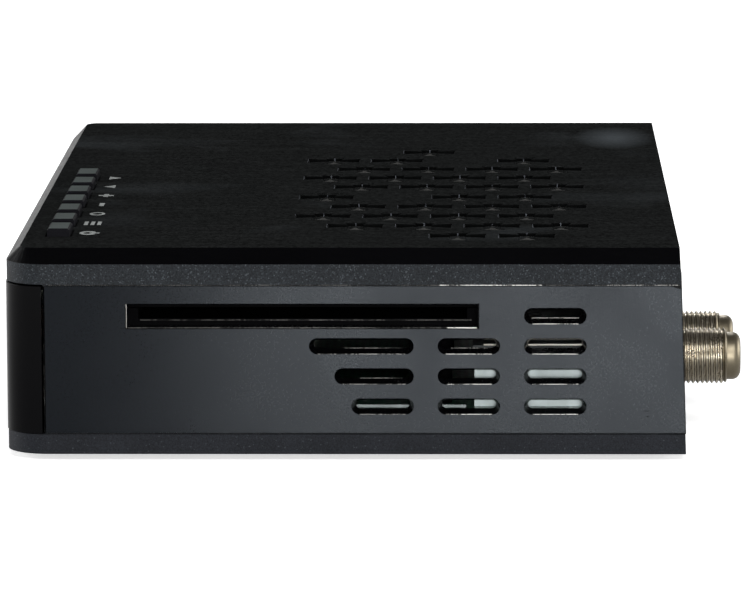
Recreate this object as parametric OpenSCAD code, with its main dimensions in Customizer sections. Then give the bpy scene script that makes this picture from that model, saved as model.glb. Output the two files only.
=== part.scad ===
// Small desktop satellite receiver.
// Front faces -Y, the card slot is on the +X side, +Z is up, lengths are in millimetres.
// Heights inside the modules are measured from the underside of the case.

/* [Case] */
// Width of the case across the front
case_w = 168; // [160:1:190]
// Depth of the case at its underside, front to rear
case_d = 113; // [108:1:130]
// Height of the case without its feet
case_h = 34.3; // [33:0.1:40]
// Radius of the upright front corners
corner_r = 7; // [5:0.5:9]
// Width of the sloped edge round the top, seen from above
bevel_w = 2.45; // [1.5:0.05:3]
// Height of that sloped edge
bevel_h = 2.45; // [1.5:0.05:3]
// Radius of the front corners at the top of the sloped edge
top_corner_r = 2.4; // [1.5:0.1:3]
// How far the rear edge leans forward at the top
rear_lean = 1.15; // [0:0.05:1.5]
// Height of the base tray's rim
rim_h = 3.3; // [2.8:0.1:4]
// Height of the cover's textured band under the sloped edge
band_h = 3.4; // [3:0.1:5]
// Thickness of the side walls
side_t = 2.4; // [2:0.1:3]
// Thickness of the top
cover_t = 2; // [1.6:0.1:2.4]
// Thickness of the floor
floor_t = 2; // [1.8:0.1:2.4]
// Depth of the shadow grooves along the seams
groove_d = 0.2; // [0.1:0.05:0.3]
// Height of those grooves
groove_h = 0.25; // [0.15:0.05:0.4]
// Play between parts that are pushed together
play = 0.1; // [0.05:0.05:0.2]
// How far a rubber foot stands out of the base
foot_h = 1; // [0.8:0.1:2]
// Radius of a rubber foot
foot_r = 5; // [4:0.5:6]

/* [Front] */
// How far the fascia wraps back along the sides
fascia_reach = 6.2; // [5.5:0.1:8]
// Thickness of the fascia
fascia_t = 2.4; // [2:0.1:3]
// How far the fascia stands in front of the base
fascia_proud = 0.15; // [0.1:0.05:0.5]
// Width of the gaps round the fascia
fascia_gap = 0.3; // [0.2:0.05:0.5]
// Width of the display window
window_w = 64; // [56:1:70]
// Height of the display window
window_h = 15; // [13:0.5:16]

/* [Side openings] */
// Length of the card slot
slot_l = 58.2; // [57:0.1:60]
// Height of the card slot
slot_h = 3.83; // [3:0.05:4]
// Centre of the card slot, forward of the rear edge, as a share of the depth
slot_at = 0.5628; // [0.55:0.001:0.58]
// Length of a side vent
vent_l = 10.3; // [9:0.1:11]
// Height of a side vent
vent_h = 2.7; // [2:0.1:3]
// How much a vent narrows on each side through the wall
vent_taper = 0.66; // [0.3:0.02:0.8]
// Distance between rows of side vents, as a share of the side panel's height
vent_rows_at = 0.2012; // [0.19:0.0002:0.206]
// Distance between columns of side vents
vent_column = 14.3; // [13:0.1:15]
// Height of the lowest row of side vents on the panel, as a share of its height
vent_first_at = 0.1885; // [0.17:0.0005:0.195]
// Centre of the rearmost column, forward of the rear edge
vent_from_rear = 21.7; // [20:0.1:23]

/* [Top vents] */
// Distance between neighbouring crosses
cross_pitch = 11.64; // [11:0.02:12]
// Length of a cross from tip to tip
cross_l = 9.2; // [8:0.1:9.6]
// Width of a cross's arm at its end
cross_end_w = 4.4; // [4:0.1:5]
// Width of a cross's arm near the middle
cross_neck_w = 2.6; // [2:0.1:3]
// Depth of the pocket round the arms that stay closed
cross_depth = 0.9; // [0.6:0.05:1.2]
// Centre of the row of crosses nearest the card slot side, from the middle of the case
cross_first_x = 68.2; // [66:0.2:69]
// Extra gap in the middle of the pattern
cross_gap = 1.5; // [0:0.1:3]
// Centre of the foremost column, forward of the rear edge
cross_from_rear = 61.2; // [58:0.2:62]

/* [Keys] */
// Length of a key along the row
key_l = 7.6; // [7:0.1:8]
// Width of a key
key_w = 3.75; // [3.4:0.05:4]
// How far a key stands above the top
key_rise = 1.3; // [1:0.1:1.6]
// Distance between keys
key_pitch = 11.33; // [11:0.01:11.8]
// Centre line of the keys, behind the front of the case
key_from_front = 8; // [7.6:0.1:8.4]
// Centre of the first key, in from the card slot side
key_from_side = 19.1; // [18.6:0.1:20]
// Gap between a key and its opening
key_gap = 0.35; // [0.25:0.05:0.45]
// Travel of a key
key_travel = 0.35; // [0.25:0.05:0.4]

/* [Boards] */
// Height of the main board above the floor of the tray
board_lift = 3.6; // [3.4:0.1:4]
// Thickness of the circuit boards
board_t = 1.6; // [1:0.1:1.8]
// Gap between the main board and the side walls
board_gap = 0.6; // [0.4:0.1:1]

/* [Aerial sockets] */
// Radius over the threads of an F connector
f_thread_r = 4.7625; // [4.7:0.0125:4.8]
// Radius of its smooth nose
f_nose_r = 4.03; // [3.9:0.01:4.2]
// Length of its smooth nose
f_nose_l = 2.3; // [2:0.1:3]
// How far the aerial input stands out of the rear panel
f_reach = 11.6; // [10:0.1:13]
// How much shorter the loop output is
loop_setback = 0.5; // [0:0.1:1]
// Distance between the two F connectors
f_spacing = 18; // [16:0.5:20]
// Height of the F connectors above the main board
f_lift = 4.85; // [4.7:0.05:6]
// Aerial input, in from the card slot side
f_from_side = 27; // [25:0.5:30]

/* [Hidden] */
$fn = 48;
eps = 0.01;

// Main planes of the case
right_x = case_w / 2;
inner_x = right_x - side_t;
front_y = -case_d / 2;
rear_y = case_d / 2;
bevel_z = case_h - bevel_h;
seam_z = bevel_z - band_h;
under_top = case_h - cover_t;
side_h = seam_z - rim_h;
vent_row = side_h * vent_rows_at;
vent_z = rim_h + side_h * vent_first_at;
seam_y = front_y + fascia_reach;
fascia_front = front_y - fascia_proud;
fascia_back = fascia_front + fascia_t;

// Rear panel, standing behind a lip of the tray
lip_t = 1.6;
panel_t = 1.6;
panel_y = rear_y - lip_t;
panel_inner = panel_y - panel_t;

// Main board
board_z = floor_t + board_lift;
board_top = board_z + board_t;
board_front = fascia_back + 10.75;
board_rear = panel_inner - 0.3;

// Ends of the tuner can on it, beside the card slot side
can_l = 62;
can_gap = 2.6;
can_x1 = inner_x - can_gap;
can_x0 = can_x1 - can_l;

// Tongues that tie the side panels to tray and cover
tongue_t = 1.2;
tongue_front = seam_y + 2;
tongue_rear = panel_inner - 1.3;
tongue_top = board_z - 0.4;
tongue_grip = 2.5;

// Screws that close the case: places, bosses and shanks
post_r = 3;
post_foot_r = 3.8;
post_in = tongue_t + play + post_foot_r;
case_screw_at = [[inner_x - post_in, front_y + 15.5], [post_in - inner_x, front_y + 15.5],
    [post_in - inner_x, rear_y - 10.5], [can_x0 - 6.5, rear_y - 9.5]];
post_split = 14;
screw_hole_r = 1.7;
screw_shank_r = 1.2;
screw_pilot_r = 1.25;
screw_head_r = 2.75;
screw_head_h = 2;
screw_seat = 2.6;
post_top = 27;

// Small screws that hold the boards
board_screw_at = [[inner_x - 19.6, board_front + 4], [19.6 - inner_x, board_front + 4],
    [9.6 - inner_x, rear_y - 26.5], [can_x0 - 9, rear_y - 26.5]];
small_shank_r = 1;
small_pilot_r = 1.05;
small_head_r = 2.4;
small_head_h = 1.5;
small_bite = 3;

// Keys, their flanges and the switches under them
key_names = ["power", "menu", "ok", "volume_down", "volume_up", "channel_down", "channel_up"];
key_y = front_y + key_from_front;
key_edge = 0.3;
key_flange = 0.6;
key_flange_t = 0.9;
key_stem_r = 1.6;
key_flange_z = under_top - play - key_flange_t;
key_stem_z = key_flange_z - 2.1;
plunger_r = 1.2;
plunger_h = 1.9;
switch_l = 6;
switch_w = 3.6;
switch_h = 2.2;
switch_top = key_stem_z - 0.6;
key_board_top = switch_top - switch_h;
key_board_z = key_board_top - board_t;
key_board_l = 6 * key_pitch + 24;
key_board_w = 7.6;
key_boss_r = 2.2;
key_boss_dx = 3 * key_pitch + 9.4;
key_mid_x = right_x - key_from_side - 3 * key_pitch;

// Front board with display, held by posts of the fascia
front_board_y = fascia_back + 8.25;
front_board_w = 90;
front_board_z = board_top + 0.8;
front_board_top = key_board_z - 1.2;
front_post_x = 41;
front_post_r = 2.2;
front_post_dz = 5;
window_flange = 1.5;
window_flange_t = 1;
display_back = front_board_y;
display_l = 30;
display_low = front_board_z + 1;
display_high = key_board_z - small_head_h - 1.3;
display_h = display_high - display_low;
window_z = (display_low + display_high) / 2;

// Tuner can beside the card slot side
can_w = 31.7;
can_h = 9.8;
can_y1 = panel_inner - 0.2;
can_y0 = can_y1 - can_w;
lid_t = 0.5;
can_top = board_top + can_h + lid_t;
lid_skirt = 2.5;
lid_skirt_t = 0.3;

// F connectors
f_z = board_top + f_lift;
f_shoulder_r = 5.6;
f_shoulder_y = panel_y + 0.7;
f_tail_r = 3.2;
f_tail_l = 0.9;
f_bore_r = 2.7;
f_bore_l = 8;
f_round = 0.5;
f_contact_r = 1;
f_contact_bore = 0.45;
f_x = [right_x - f_from_side, right_x - f_from_side - f_spacing];
f_tip = [panel_y + f_reach, panel_y + f_reach - loop_setback];

// Card reader behind the slot
slot_y = rear_y - case_d * slot_at;
slot_z = can_top + (seam_z - can_top) * 0.517;
card_gap = 1.8;
card_w = 54.6;
reader_l = 62.8;
reader_x1 = inner_x - 0.8;
reader_x0 = reader_x1 - reader_l;
reader_wall = 3;
reader_low = slot_z - 3.5;
reader_floor = slot_z - card_gap / 2;
reader_top = slot_z + card_gap / 2;
reader_cover_t = 0.6;
reader_y0 = slot_y - card_w / 2 - reader_wall;
reader_y1 = slot_y + card_w / 2 + reader_wall;
reader_leg_r = 2;
reader_leg_rear = can_y0 - 5.7;

// Layout of the free part of the main board: lengths at the plain size, from the tuner can
// and from the rear edge of the board, which stretch with the case
layout_x = (can_x0 + inner_x) / 98.6;
layout_y = (board_rear - board_front) / 96.5;
function on_board(x, y) = [can_x0 - x * layout_x, board_rear - y * layout_y];

// Sockets along the rear panel
hdmi_x = on_board(23, 0)[0];
usb_x = on_board(45, 0)[0];
av_x = on_board(63, 0)[0];
dc_x = on_board(77, 0)[0];
socket_front = panel_y + 0.6;
socket_t = 0.4;
hdmi_w = 15;
hdmi_h = 5.8;
hdmi_l = 11.5;
usb_w = 13.2;
usb_h = 5.9;
usb_l = 14;
tongue_w = 11.4;
av_z = board_top + 3;
av_bore_r = 1.8;
av_nose_r = 2.95;
dc_z = board_top + 5.5;
dc_bore_r = 2.75;
dc_nose_r = 4.1;
dc_pin_r = 1.05;
jack_l = 12;
jack_bore_l = 10;

// Parts on the main board: chips, cans and headers
chip_x = on_board(37, 53)[0];
chip_y = on_board(37, 53)[1];
chip_w = 20;
chip_h = 1.5;
sink_w = 22;
sink_h = 7;
fin_count = 8;
fin_t = 1.1;
header_l = 26;
header_w = 3.4;
header_h = 3;
ribbon_t = 0.4;
key_header_x = front_board_w / 2 + 5.9;
key_header_l = 14;

// The origin lies under the middle of the whole product, at the level it stands on
y_mid = (fascia_front + f_tip[0]) / 2;
module in_place() {
    translate([0, -y_mid, foot_h]) children();
}

// Plain block between two corners
module block(low, high) {
    translate(low) cube(high - low);
}

// Round bar along Y from y0 to y1
module bar_y(r, y0, y1) {
    translate([0, y0, 0]) rotate([-90, 0, 0]) cylinder(r = r, h = y1 - y0);
}

// Extrudes a Y-Z outline along X, centred
module along_x(length) {
    rotate([90, 0, 90]) linear_extrude(length, center = true) children();
}

// Extrudes an X-Z outline along Y, from y0 to y1
module along_y(y0, y1) {
    translate([0, y1, 0]) rotate([90, 0, 0]) linear_extrude(y1 - y0) children();
}

// Plan of the case: round front corners, square rear corners
module plan(half_w, y0, y1, r) {
    intersection() {
        union() {
            translate([-half_w, y0 + r]) square([2 * half_w, y1 - y0]);
            translate([r - half_w, y0]) square([2 * (half_w - r), y1 - y0]);
            for (side = [-1, 1])
                translate([side * (half_w - r), y0 + r]) circle(r);
        }
        translate([-half_w, y0]) square([2 * half_w, y1 - y0]);
    }
}

// Everything in front of the leaning rear edge
function lean_y(z) = rear_y - rear_lean * z / case_h;
module rear_cut() {
    along_x(case_w + 2)
        polygon([[front_y - 5, -1], [lean_y(-1), -1], [lean_y(case_h + 1), case_h + 1],
            [front_y - 5, case_h + 1]]);
}

// Stadium, centred, long side along the first axis
module stadium(l, h) {
    square([l - h, h], center = true);
    for (side = [-1, 1])
        translate([side * (l - h) / 2, 0]) circle(h / 2);
}

// Side vent: a stadium hole that narrows inwards through a wall whose outer face is x = 0
module vent_hole(l) {
    outer_r = vent_h / 2;
    inner_r = outer_r - vent_taper;
    run = l - vent_h;
    t = side_t + eps;
    for (side = [-1, 1])
        translate([-t, side * run / 2, 0]) rotate([0, 90, 0])
            cylinder(r1 = inner_r, r2 = outer_r, h = t);
    translate([0, run / 2, 0]) rotate([90, 0, 0]) linear_extrude(run)
        polygon([[-t, -inner_r], [0, -outer_r], [0, outer_r], [-t, inner_r]]);
}

// Hollow post for a case screw, from the floor up
module case_post() {
    cylinder(r = post_foot_r, h = tongue_top);
    cylinder(r = post_r, h = post_split);
}

/* Case */

module base_tray() in_place() color("#2a2c2f")
    difference() {
        union() {
            difference() {
                intersection() {
                    linear_extrude(rim_h) plan(right_x, front_y, rear_y, corner_r);
                    rear_cut();
                }
                translate([0, 0, floor_t]) linear_extrude(rim_h)
                    plan(inner_x, front_y + side_t, panel_y, corner_r - side_t);
            }
            for (at = case_screw_at)
                translate(at) case_post();
            for (at = board_screw_at)
                translate(at) cylinder(r = 2.6, h = board_z);
            for (x = [-inner_x + 20, -20, 30, inner_x - 8])
                block([x - 4, panel_inner - 1.3, floor_t - eps], [x + 4, panel_inner - 0.1, rim_h]);
        }
        for (at = case_screw_at)
            translate(at) {
                translate([0, 0, -eps]) cylinder(r = screw_head_r + 0.25, h = screw_seat + eps);
                cylinder(r = screw_hole_r, h = post_split + 1);
            }
        for (at = board_screw_at)
            translate([at[0], at[1], board_z - small_bite])
                cylinder(r = small_pilot_r, h = small_bite + 1);
        for (side = [-1, 1], end = [front_y + 14.5, rear_y - 14.5])
            translate([side * (right_x - 18), end, -eps])
                cylinder(r = foot_r + 0.1, h = 0.6 + eps);
        for (row = [-3 : 3], column = [-2 : 2])
            translate([column * 19 - 4, row * 6, -1]) linear_extrude(floor_t + 2) stadium(14, 2.4);
    }

module top_cover() in_place() color("#1d1f20")
    difference() {
        union() {
            intersection() {
                difference() {
                    union() {
                        translate([0, 0, seam_z]) linear_extrude(band_h)
                            plan(right_x, front_y, rear_y, corner_r);
                        hull() {
                            translate([0, 0, bevel_z]) linear_extrude(eps)
                                plan(right_x, front_y, rear_y, corner_r);
                            translate([0, 0, case_h - eps]) linear_extrude(eps)
                                plan(right_x - bevel_w, front_y + bevel_w, rear_y, top_corner_r);
                        }
                    }
                    translate([0, 0, seam_z - 1]) linear_extrude(under_top - seam_z + 1)
                        plan(inner_x, front_y + side_t, rear_y + 1, corner_r - side_t);
                }
                rear_cut();
            }
            for (at = case_screw_at)
                translate([at[0], at[1], post_split])
                    cylinder(r = post_r, h = under_top - post_split + eps);
            for (side = [-1, 1])
                translate([key_mid_x + side * key_boss_dx, key_y, key_board_top])
                    cylinder(r = key_boss_r, h = under_top - key_board_top + eps);
        }
        for (at = case_screw_at)
            translate([at[0], at[1], post_split - 1]) cylinder(r = screw_pilot_r, h = post_top - post_split + 1);
        for (side = [-1, 1])
            translate([key_mid_x + side * key_boss_dx, key_y, key_board_top - 1])
                cylinder(r = small_pilot_r, h = 1 + small_bite);
        for (i = [0 : 6])
            translate([key_x(i), key_y, under_top - 1])
                block([-key_l / 2 - key_gap, -key_w / 2 - key_gap, 0],
                    [key_l / 2 + key_gap, key_w / 2 + key_gap, cover_t + 2]);
        for (row = [0 : len(cross_rows) - 1], column = cross_rows[row])
            translate([cross_x(row), cross_y(column), case_h]) cross_cut();
    }

// Columns that hold a cross, row by row, starting at the far side
cross_rows = [[3], [0, 2, 6], [1, 3, 5, 7], [0, 2, 4, 6], [1, 3, 5, 7],
    [0, 4, 6], [1, 3, 5, 7], [0, 2, 4, 6], [1, 3, 5, 7], [4, 6]];
cross_split = 5;
function cross_x(row) = cross_first_x - (len(cross_rows) - 1 - row) * cross_pitch
    - (row < cross_split ? cross_gap : 0);
function cross_y(column) = rear_y - cross_from_rear + column * cross_pitch / 2;

// Outline of a cross whose four arms widen outwards
module cross_outline() {
    tip = cross_l / 2;
    wide = cross_end_w / 2;
    neck = cross_neck_w / 2;
    polygon([for (k = [0 : 3], p = [[tip, -wide], [tip, wide], [neck, neck]])
        [p[0] * cos(90 * k) - p[1] * sin(90 * k), p[0] * sin(90 * k) + p[1] * cos(90 * k)]]);
}

// Cross cut into a face at z = 0: side arms go through, the others slope down to their tips
module cross_cut() {
    rim = 0.25;
    tip = cross_l / 2;
    neck = cross_neck_w / 2;
    translate([0, 0, -rim]) linear_extrude(rim + eps, scale = 1 + 2 * rim / cross_l) cross_outline();
    difference() {
        translate([0, 0, -cross_depth]) linear_extrude(cross_depth) cross_outline();
        along_y(-cross_end_w / 2 - 1, cross_end_w / 2 + 1)
            polygon([[-tip - 1, -cross_depth - 1], [tip + 1, -cross_depth - 1], [tip, -cross_depth],
                [neck / 2, -rim - eps], [-neck / 2, -rim - eps], [-tip, -cross_depth]]);
    }
    for (side = [-1, 1])
        translate([0, 0, -cover_t - 1]) linear_extrude(cover_t + 1 - rim / 2)
            polygon([[-neck, side * neck], [neck, side * neck], [cross_end_w / 2, side * tip],
                [-cross_end_w / 2, side * tip]]);
}

// Side panel blank for the card slot side, with its seam grooves and tongues
module side_blank() {
    difference() {
        union() {
            intersection() {
                translate([0, 0, rim_h]) linear_extrude(seam_z - rim_h)
                    polygon([[inner_x, seam_y + fascia_gap], [right_x - 0.3, seam_y + fascia_gap],
                        [right_x, seam_y + fascia_gap + 0.3], [right_x, rear_y], [inner_x, rear_y]]);
                rear_cut();
            }
            block([inner_x - tongue_t, tongue_front, rim_h], [inner_x + eps, tongue_rear, tongue_top]);
            block([inner_x - tongue_t, tongue_front, floor_t + play],
                [inner_x - play, tongue_rear, rim_h + eps]);
            block([inner_x - tongue_t, tongue_front, seam_z - tongue_grip],
                [inner_x + eps, tongue_rear, seam_z]);
            block([inner_x - tongue_t, tongue_front, seam_z - eps],
                [inner_x - play, tongue_rear, seam_z + tongue_grip]);
        }
        for (z = [rim_h, seam_z - groove_h])
            block([right_x - groove_d, front_y, z - eps], [right_x + 1, rear_y + 1, z + groove_h + eps]);
        // small clipped corner at the top rear
        translate([right_x - side_t / 2, 0, 0]) along_x(2 * side_t)
            polygon([[lean_y(seam_z) - 1.7, seam_z + 1], [lean_y(seam_z) - 1.7, seam_z - groove_h],
                [lean_y(seam_z) + 1, seam_z - 1], [lean_y(seam_z) + 1, seam_z + 1]]);
        // notches that let the fixed bosses of the cover pass
        translate([case_screw_at[0][0], case_screw_at[0][1], 0])
            cylinder(r = post_r + 0.4, h = case_h);
    }
}

module side_panel_right() in_place() color("#3c3f44")
    difference() {
        side_blank();
        // card slot with a narrow sloped edge
        translate([right_x, slot_y, slot_z]) {
            cube([4 * side_t, slot_l, slot_h], center = true);
            hull() {
                cube([0.4, slot_l, slot_h], center = true);
                translate([0.2, 0, 0]) cube([0.4, slot_l + 0.4, slot_h + 0.4], center = true);
            }
        }
        for (row = [0 : 3])
            translate([right_x + eps, rear_y - vent_from_rear, vent_z + row * vent_row])
                vent_hole(vent_l);
        for (row = [0 : 2])
            translate([right_x + eps, rear_y - vent_from_rear - vent_column, vent_z + row * vent_row])
                vent_hole(vent_l);
        // stepped front column, growing towards the slot
        for (row = [0 : 2]) {
            l = vent_l + vent_step[row];
            translate([right_x + eps, rear_y - vent_from_rear - 2 * vent_column - vent_step[row] / 2,
                vent_z + row * vent_row]) vent_hole(l);
        }
    }
vent_step = [0, 2.8, 7];

module side_panel_left() in_place() color("#3c3f44")
    mirror([1, 0, 0])
        difference() {
            side_blank();
            for (row = [0 : 3], column = [0 : 4])
                translate([right_x + eps, rear_y - vent_from_rear - column * vent_column,
                    vent_z + row * vent_row]) vent_hole(vent_l);
        }

module rear_panel() in_place() color("#232527")
    difference() {
        block([play - inner_x, panel_inner, floor_t + play / 2],
            [inner_x - play, panel_y, under_top - play / 2]);
        for (x = f_x)
            translate([x, 0, f_z]) bar_y(f_shoulder_r + 0.2, panel_inner - 1, panel_y + 1);
        block([hdmi_x - hdmi_w / 2 - 0.2, panel_inner - 1, board_top - 0.1],
            [hdmi_x + hdmi_w / 2 + 0.2, panel_y + 1, board_top + hdmi_h + 0.2]);
        block([usb_x - usb_w / 2 - 0.2, panel_inner - 1, board_top - 0.1],
            [usb_x + usb_w / 2 + 0.2, panel_y + 1, board_top + usb_h + 0.2]);
        translate([av_x, 0, av_z]) bar_y(av_nose_r + 0.15, panel_inner - 1, panel_y + 1);
        translate([dc_x, 0, dc_z]) bar_y(dc_nose_r + 0.15, panel_inner - 1, panel_y + 1);
        // upright vent slots above the sockets
        for (i = [0 : 9])
            translate([i * 4.4 - inner_x + 14, 0, under_top - 7])
                along_y(panel_inner - 1, panel_y + 1) rotate(90) stadium(7, 1.8);
    }

module rubber_feet() in_place() color("#141414")
    for (side = [-1, 1], end = [front_y + 14.5, rear_y - 14.5])
        translate([side * (right_x - 18), end, 0.6]) rotate([180, 0, 0])
            rotate_extrude() polygon([[0, 0], [foot_r, 0], [foot_r, 0.6 + foot_h * 0.6],
                [foot_r - foot_h * 0.4, 0.6 + foot_h], [0, 0.6 + foot_h]]);

// Screw with a domed cross head at the bottom and its shank pointing up
module screw_up(head_r, head_h, shank_r, l) {
    difference() {
        union() {
            rotate_extrude() polygon([[0, 0], [head_r * 0.75, 0], [head_r, head_h * 0.45],
                [head_r, head_h], [0, head_h]]);
            translate([0, 0, head_h - eps]) cylinder(r = shank_r, h = l + eps);
        }
        for (turn = [0, 90])
            rotate(turn) translate([-head_r * 0.5, -head_r * 0.11, -1])
                cube([head_r, head_r * 0.22, 1 + head_h * 0.5]);
    }
}

module case_screws() in_place() color("#4b4d50")
    for (at = case_screw_at)
        translate([at[0], at[1], screw_seat - screw_head_h])
            screw_up(screw_head_r, screw_head_h, screw_shank_r, post_top - screw_seat - 1);

module board_screws() in_place() color("#b9bbbd") {
    for (at = board_screw_at)
        translate([at[0], at[1], board_top + small_head_h]) rotate([180, 0, 0])
            screw_up(small_head_r, small_head_h, small_shank_r, board_t + small_bite - 0.4);
    for (side = [-1, 1], up = [-1, 1])
        translate([side * front_post_x, front_board_y + board_t + small_head_h,
            window_z + up * front_post_dz]) rotate([90, 0, 0])
            screw_up(small_head_r, small_head_h, small_shank_r, board_t + small_bite - 0.4);
    for (side = [-1, 1])
        translate([key_mid_x + side * key_boss_dx, key_y, key_board_z - small_head_h])
            screw_up(small_head_r, small_head_h, small_shank_r, board_t + small_bite - 0.4);
}

/* Front */

module front_fascia() in_place() color("#0b0b0d")
    difference() {
        union() {
            translate([0, 0, rim_h + play]) linear_extrude(seam_z - rim_h - play - fascia_gap)
                difference() {
                    plan(right_x, fascia_front, seam_y, corner_r);
                    plan(right_x - fascia_t, fascia_back, seam_y + 1, corner_r - fascia_t);
                }
            for (side = [-1, 1], up = [-1, 1])
                translate([side * front_post_x, 0, window_z + up * front_post_dz])
                    bar_y(front_post_r, fascia_back - eps, front_board_y);
        }
        block([-window_w / 2, fascia_front - 1, window_z - window_h / 2],
            [window_w / 2, fascia_back + 1, window_z + window_h / 2]);
        for (side = [-1, 1], up = [-1, 1])
            translate([side * front_post_x, 0, window_z + up * front_post_dz])
                bar_y(small_pilot_r, front_board_y - small_bite, front_board_y + 1);
    }

module display_window() in_place() color("#2b1414") {
    block([play - window_w / 2, fascia_front, window_z - window_h / 2 + play],
        [window_w / 2 - play, fascia_back + eps, window_z + window_h / 2 - play]);
    block([-window_w / 2 - window_flange, fascia_back, window_z - window_h / 2 - window_flange],
        [window_w / 2 + window_flange, fascia_back + window_flange_t,
            window_z + window_h / 2 + window_flange]);
}

module front_board() in_place() color("#1d4a2c")
    difference() {
        block([-front_board_w / 2, front_board_y, front_board_z],
            [front_board_w / 2, front_board_y + board_t, front_board_top]);
        for (side = [-1, 1], up = [-1, 1])
            translate([side * front_post_x, 0, window_z + up * front_post_dz])
                bar_y(small_shank_r + 0.2, front_board_y - 1, front_board_y + board_t + 1);
    }

module display_module() in_place() color("#1a1a1c") {
    difference() {
        block([-display_l / 2, display_back - 7, window_z - display_h / 2],
            [display_l / 2, display_back, window_z + display_h / 2]);
        // shallow wells for four digits
        for (i = [-1.5 : 1.5])
            block([i * display_l / 4 - 3, display_back - 8, window_z - 4.6],
                [i * display_l / 4 + 3, display_back - 6.7, window_z + 4.6]);
    }
}

module ir_receiver() in_place() color("#16161a")
    translate([window_w / 2 - 8, 0, window_z]) {
        block([-3, display_back - 3, -3.5], [3, display_back, 3.5]);
        intersection() {
            translate([0, display_back - 3, 0]) sphere(2.4);
            block([-3, display_back - 6, -3], [3, display_back - 3 + eps, 3]);
        }
    }

module status_leds() in_place() color("#7c1f1a")
    for (i = [0, 1])
        translate([8 - window_w / 2 - 5 * i + 2, 0, window_z]) {
            bar_y(1.9, display_back - 0.8, display_back);
            bar_y(1.5, display_back - 4, display_back - 0.8 + eps);
            translate([0, display_back - 4, 0]) sphere(1.5);
        }

/* Keys: counted from the card slot side */

function key_x(i) = right_x - key_from_side - i * key_pitch;

// Key cap with chamfered top edges, a flange under the cover and a stem
module key(i) in_place() color("#4f5254")
    translate([key_x(i), key_y, 0]) {
        top = case_h + key_rise;
        intersection() {
            along_y(-key_w / 2, key_w / 2)
                polygon([[-key_l / 2, key_flange_z], [key_l / 2, key_flange_z], [key_l / 2, top - key_edge],
                    [key_l / 2 - key_edge, top], [key_edge - key_l / 2, top], [-key_l / 2, top - key_edge]]);
            along_x(key_l)
                polygon([[-key_w / 2, key_flange_z], [key_w / 2, key_flange_z], [key_w / 2, top - key_edge],
                    [key_w / 2 - key_edge, top], [key_edge - key_w / 2, top], [-key_w / 2, top - key_edge]]);
        }
        block([-key_l / 2 - key_flange, -key_w / 2 - key_flange, key_flange_z],
            [key_l / 2 + key_flange, key_w / 2 + key_flange, key_flange_z + key_flange_t]);
        translate([0, 0, key_stem_z]) cylinder(r = key_stem_r, h = key_flange_z - key_stem_z + eps);
    }
module key_power() key(0);
module key_menu() key(1);
module key_ok() key(2);
module key_volume_down() key(3);
module key_volume_up() key(4);
module key_channel_down() key(5);
module key_channel_up() key(6);

// Plunger of the switch under a key
module plunger(i) in_place() color("#d8d4c8")
    translate([key_x(i), key_y, key_stem_z - plunger_h]) cylinder(r = plunger_r, h = plunger_h);
module plunger_power() plunger(0);
module plunger_menu() plunger(1);
module plunger_ok() plunger(2);
module plunger_volume_down() plunger(3);
module plunger_volume_up() plunger(4);
module plunger_channel_down() plunger(5);
module plunger_channel_up() plunger(6);

module key_switches() in_place() color("#b4b6b8")
    for (i = [0 : 6])
        translate([key_x(i), key_y, key_board_top])
            difference() {
                block([-switch_l / 2, -switch_w / 2, 0], [switch_l / 2, switch_w / 2, switch_h]);
                translate([0, 0, switch_h + 0.6 - plunger_h - key_travel - 0.1])
                    cylinder(r = plunger_r + 0.1, h = switch_h);
            }

module key_board() in_place() color("#1d4a2c")
    difference() {
        block([key_mid_x - key_board_l / 2, key_y - key_board_w / 2, key_board_z],
            [key_mid_x + key_board_l / 2, key_y + key_board_w / 2, key_board_top]);
        for (side = [-1, 1])
            translate([key_mid_x + side * key_boss_dx, key_y, key_board_z - 1])
                cylinder(r = small_shank_r + 0.2, h = board_t + 2);
    }

/* Main board and what it carries */

module main_board() in_place() color("#1d4a2c")
    difference() {
        block([board_gap - inner_x, board_front, board_z], [inner_x - board_gap, board_rear, board_top]);
        for (at = case_screw_at)
            translate([at[0], at[1], board_z - 1]) cylinder(r = post_r + 0.4, h = board_t + 2);
        for (at = board_screw_at)
            translate([at[0], at[1], board_z - 1]) cylinder(r = small_shank_r + 0.2, h = board_t + 2);
    }

module tuner_shield() in_place() color("#c9cccd")
    difference() {
        block([can_x0, can_y0, board_top], [can_x1, can_y1, board_top + can_h]);
        for (i = [0, 1])
            translate([f_x[i], 0, f_z]) bar_y(f_tail_r + 0.05, can_y1 - f_tail_l - 0.1, can_y1 + 1);
    }

module tuner_lid() in_place() color("#d3d6d7") {
    z = board_top + can_h;
    difference() {
        block([can_x0 - lid_skirt_t, can_y0 - lid_skirt_t, z - lid_skirt],
            [can_x1 + lid_skirt_t, can_y1 - 0.5, z + lid_t]);
        block([can_x0, can_y0, z - lid_skirt - 1], [can_x1, can_y1 + 1, z]);
        // row of round dimples for trimming
        for (i = [0 : 4])
            translate([can_x0 + 10 + i * 10, can_y0 + 10, z + lid_t - 0.25]) cylinder(r = 1.6, h = 1);
    }
}

// F connector: tail in the can, shoulder through the panel, thread, smooth nose with an open end
module f_connector(i) in_place() color("#b9b4a6")
    translate([f_x[i], 0, f_z]) rotate([-90, 0, 0])
        rotate_extrude() polygon([
            [0, can_y1 - f_tail_l], [f_tail_r, can_y1 - f_tail_l], [f_tail_r, can_y1],
            [f_shoulder_r, can_y1], [f_shoulder_r, f_shoulder_y], [f_thread_r, f_shoulder_y],
            [f_thread_r, f_tip[i] - f_nose_l], [f_nose_r, f_tip[i] - f_nose_l],
            [f_nose_r, f_tip[i] - f_round], [f_nose_r - f_round, f_tip[i]],
            [f_bore_r, f_tip[i]], [f_bore_r, f_tip[i] - f_bore_l], [0, f_tip[i] - f_bore_l]]);
module lnb_in_connector() f_connector(0);
module loop_out_connector() f_connector(1);

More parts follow.
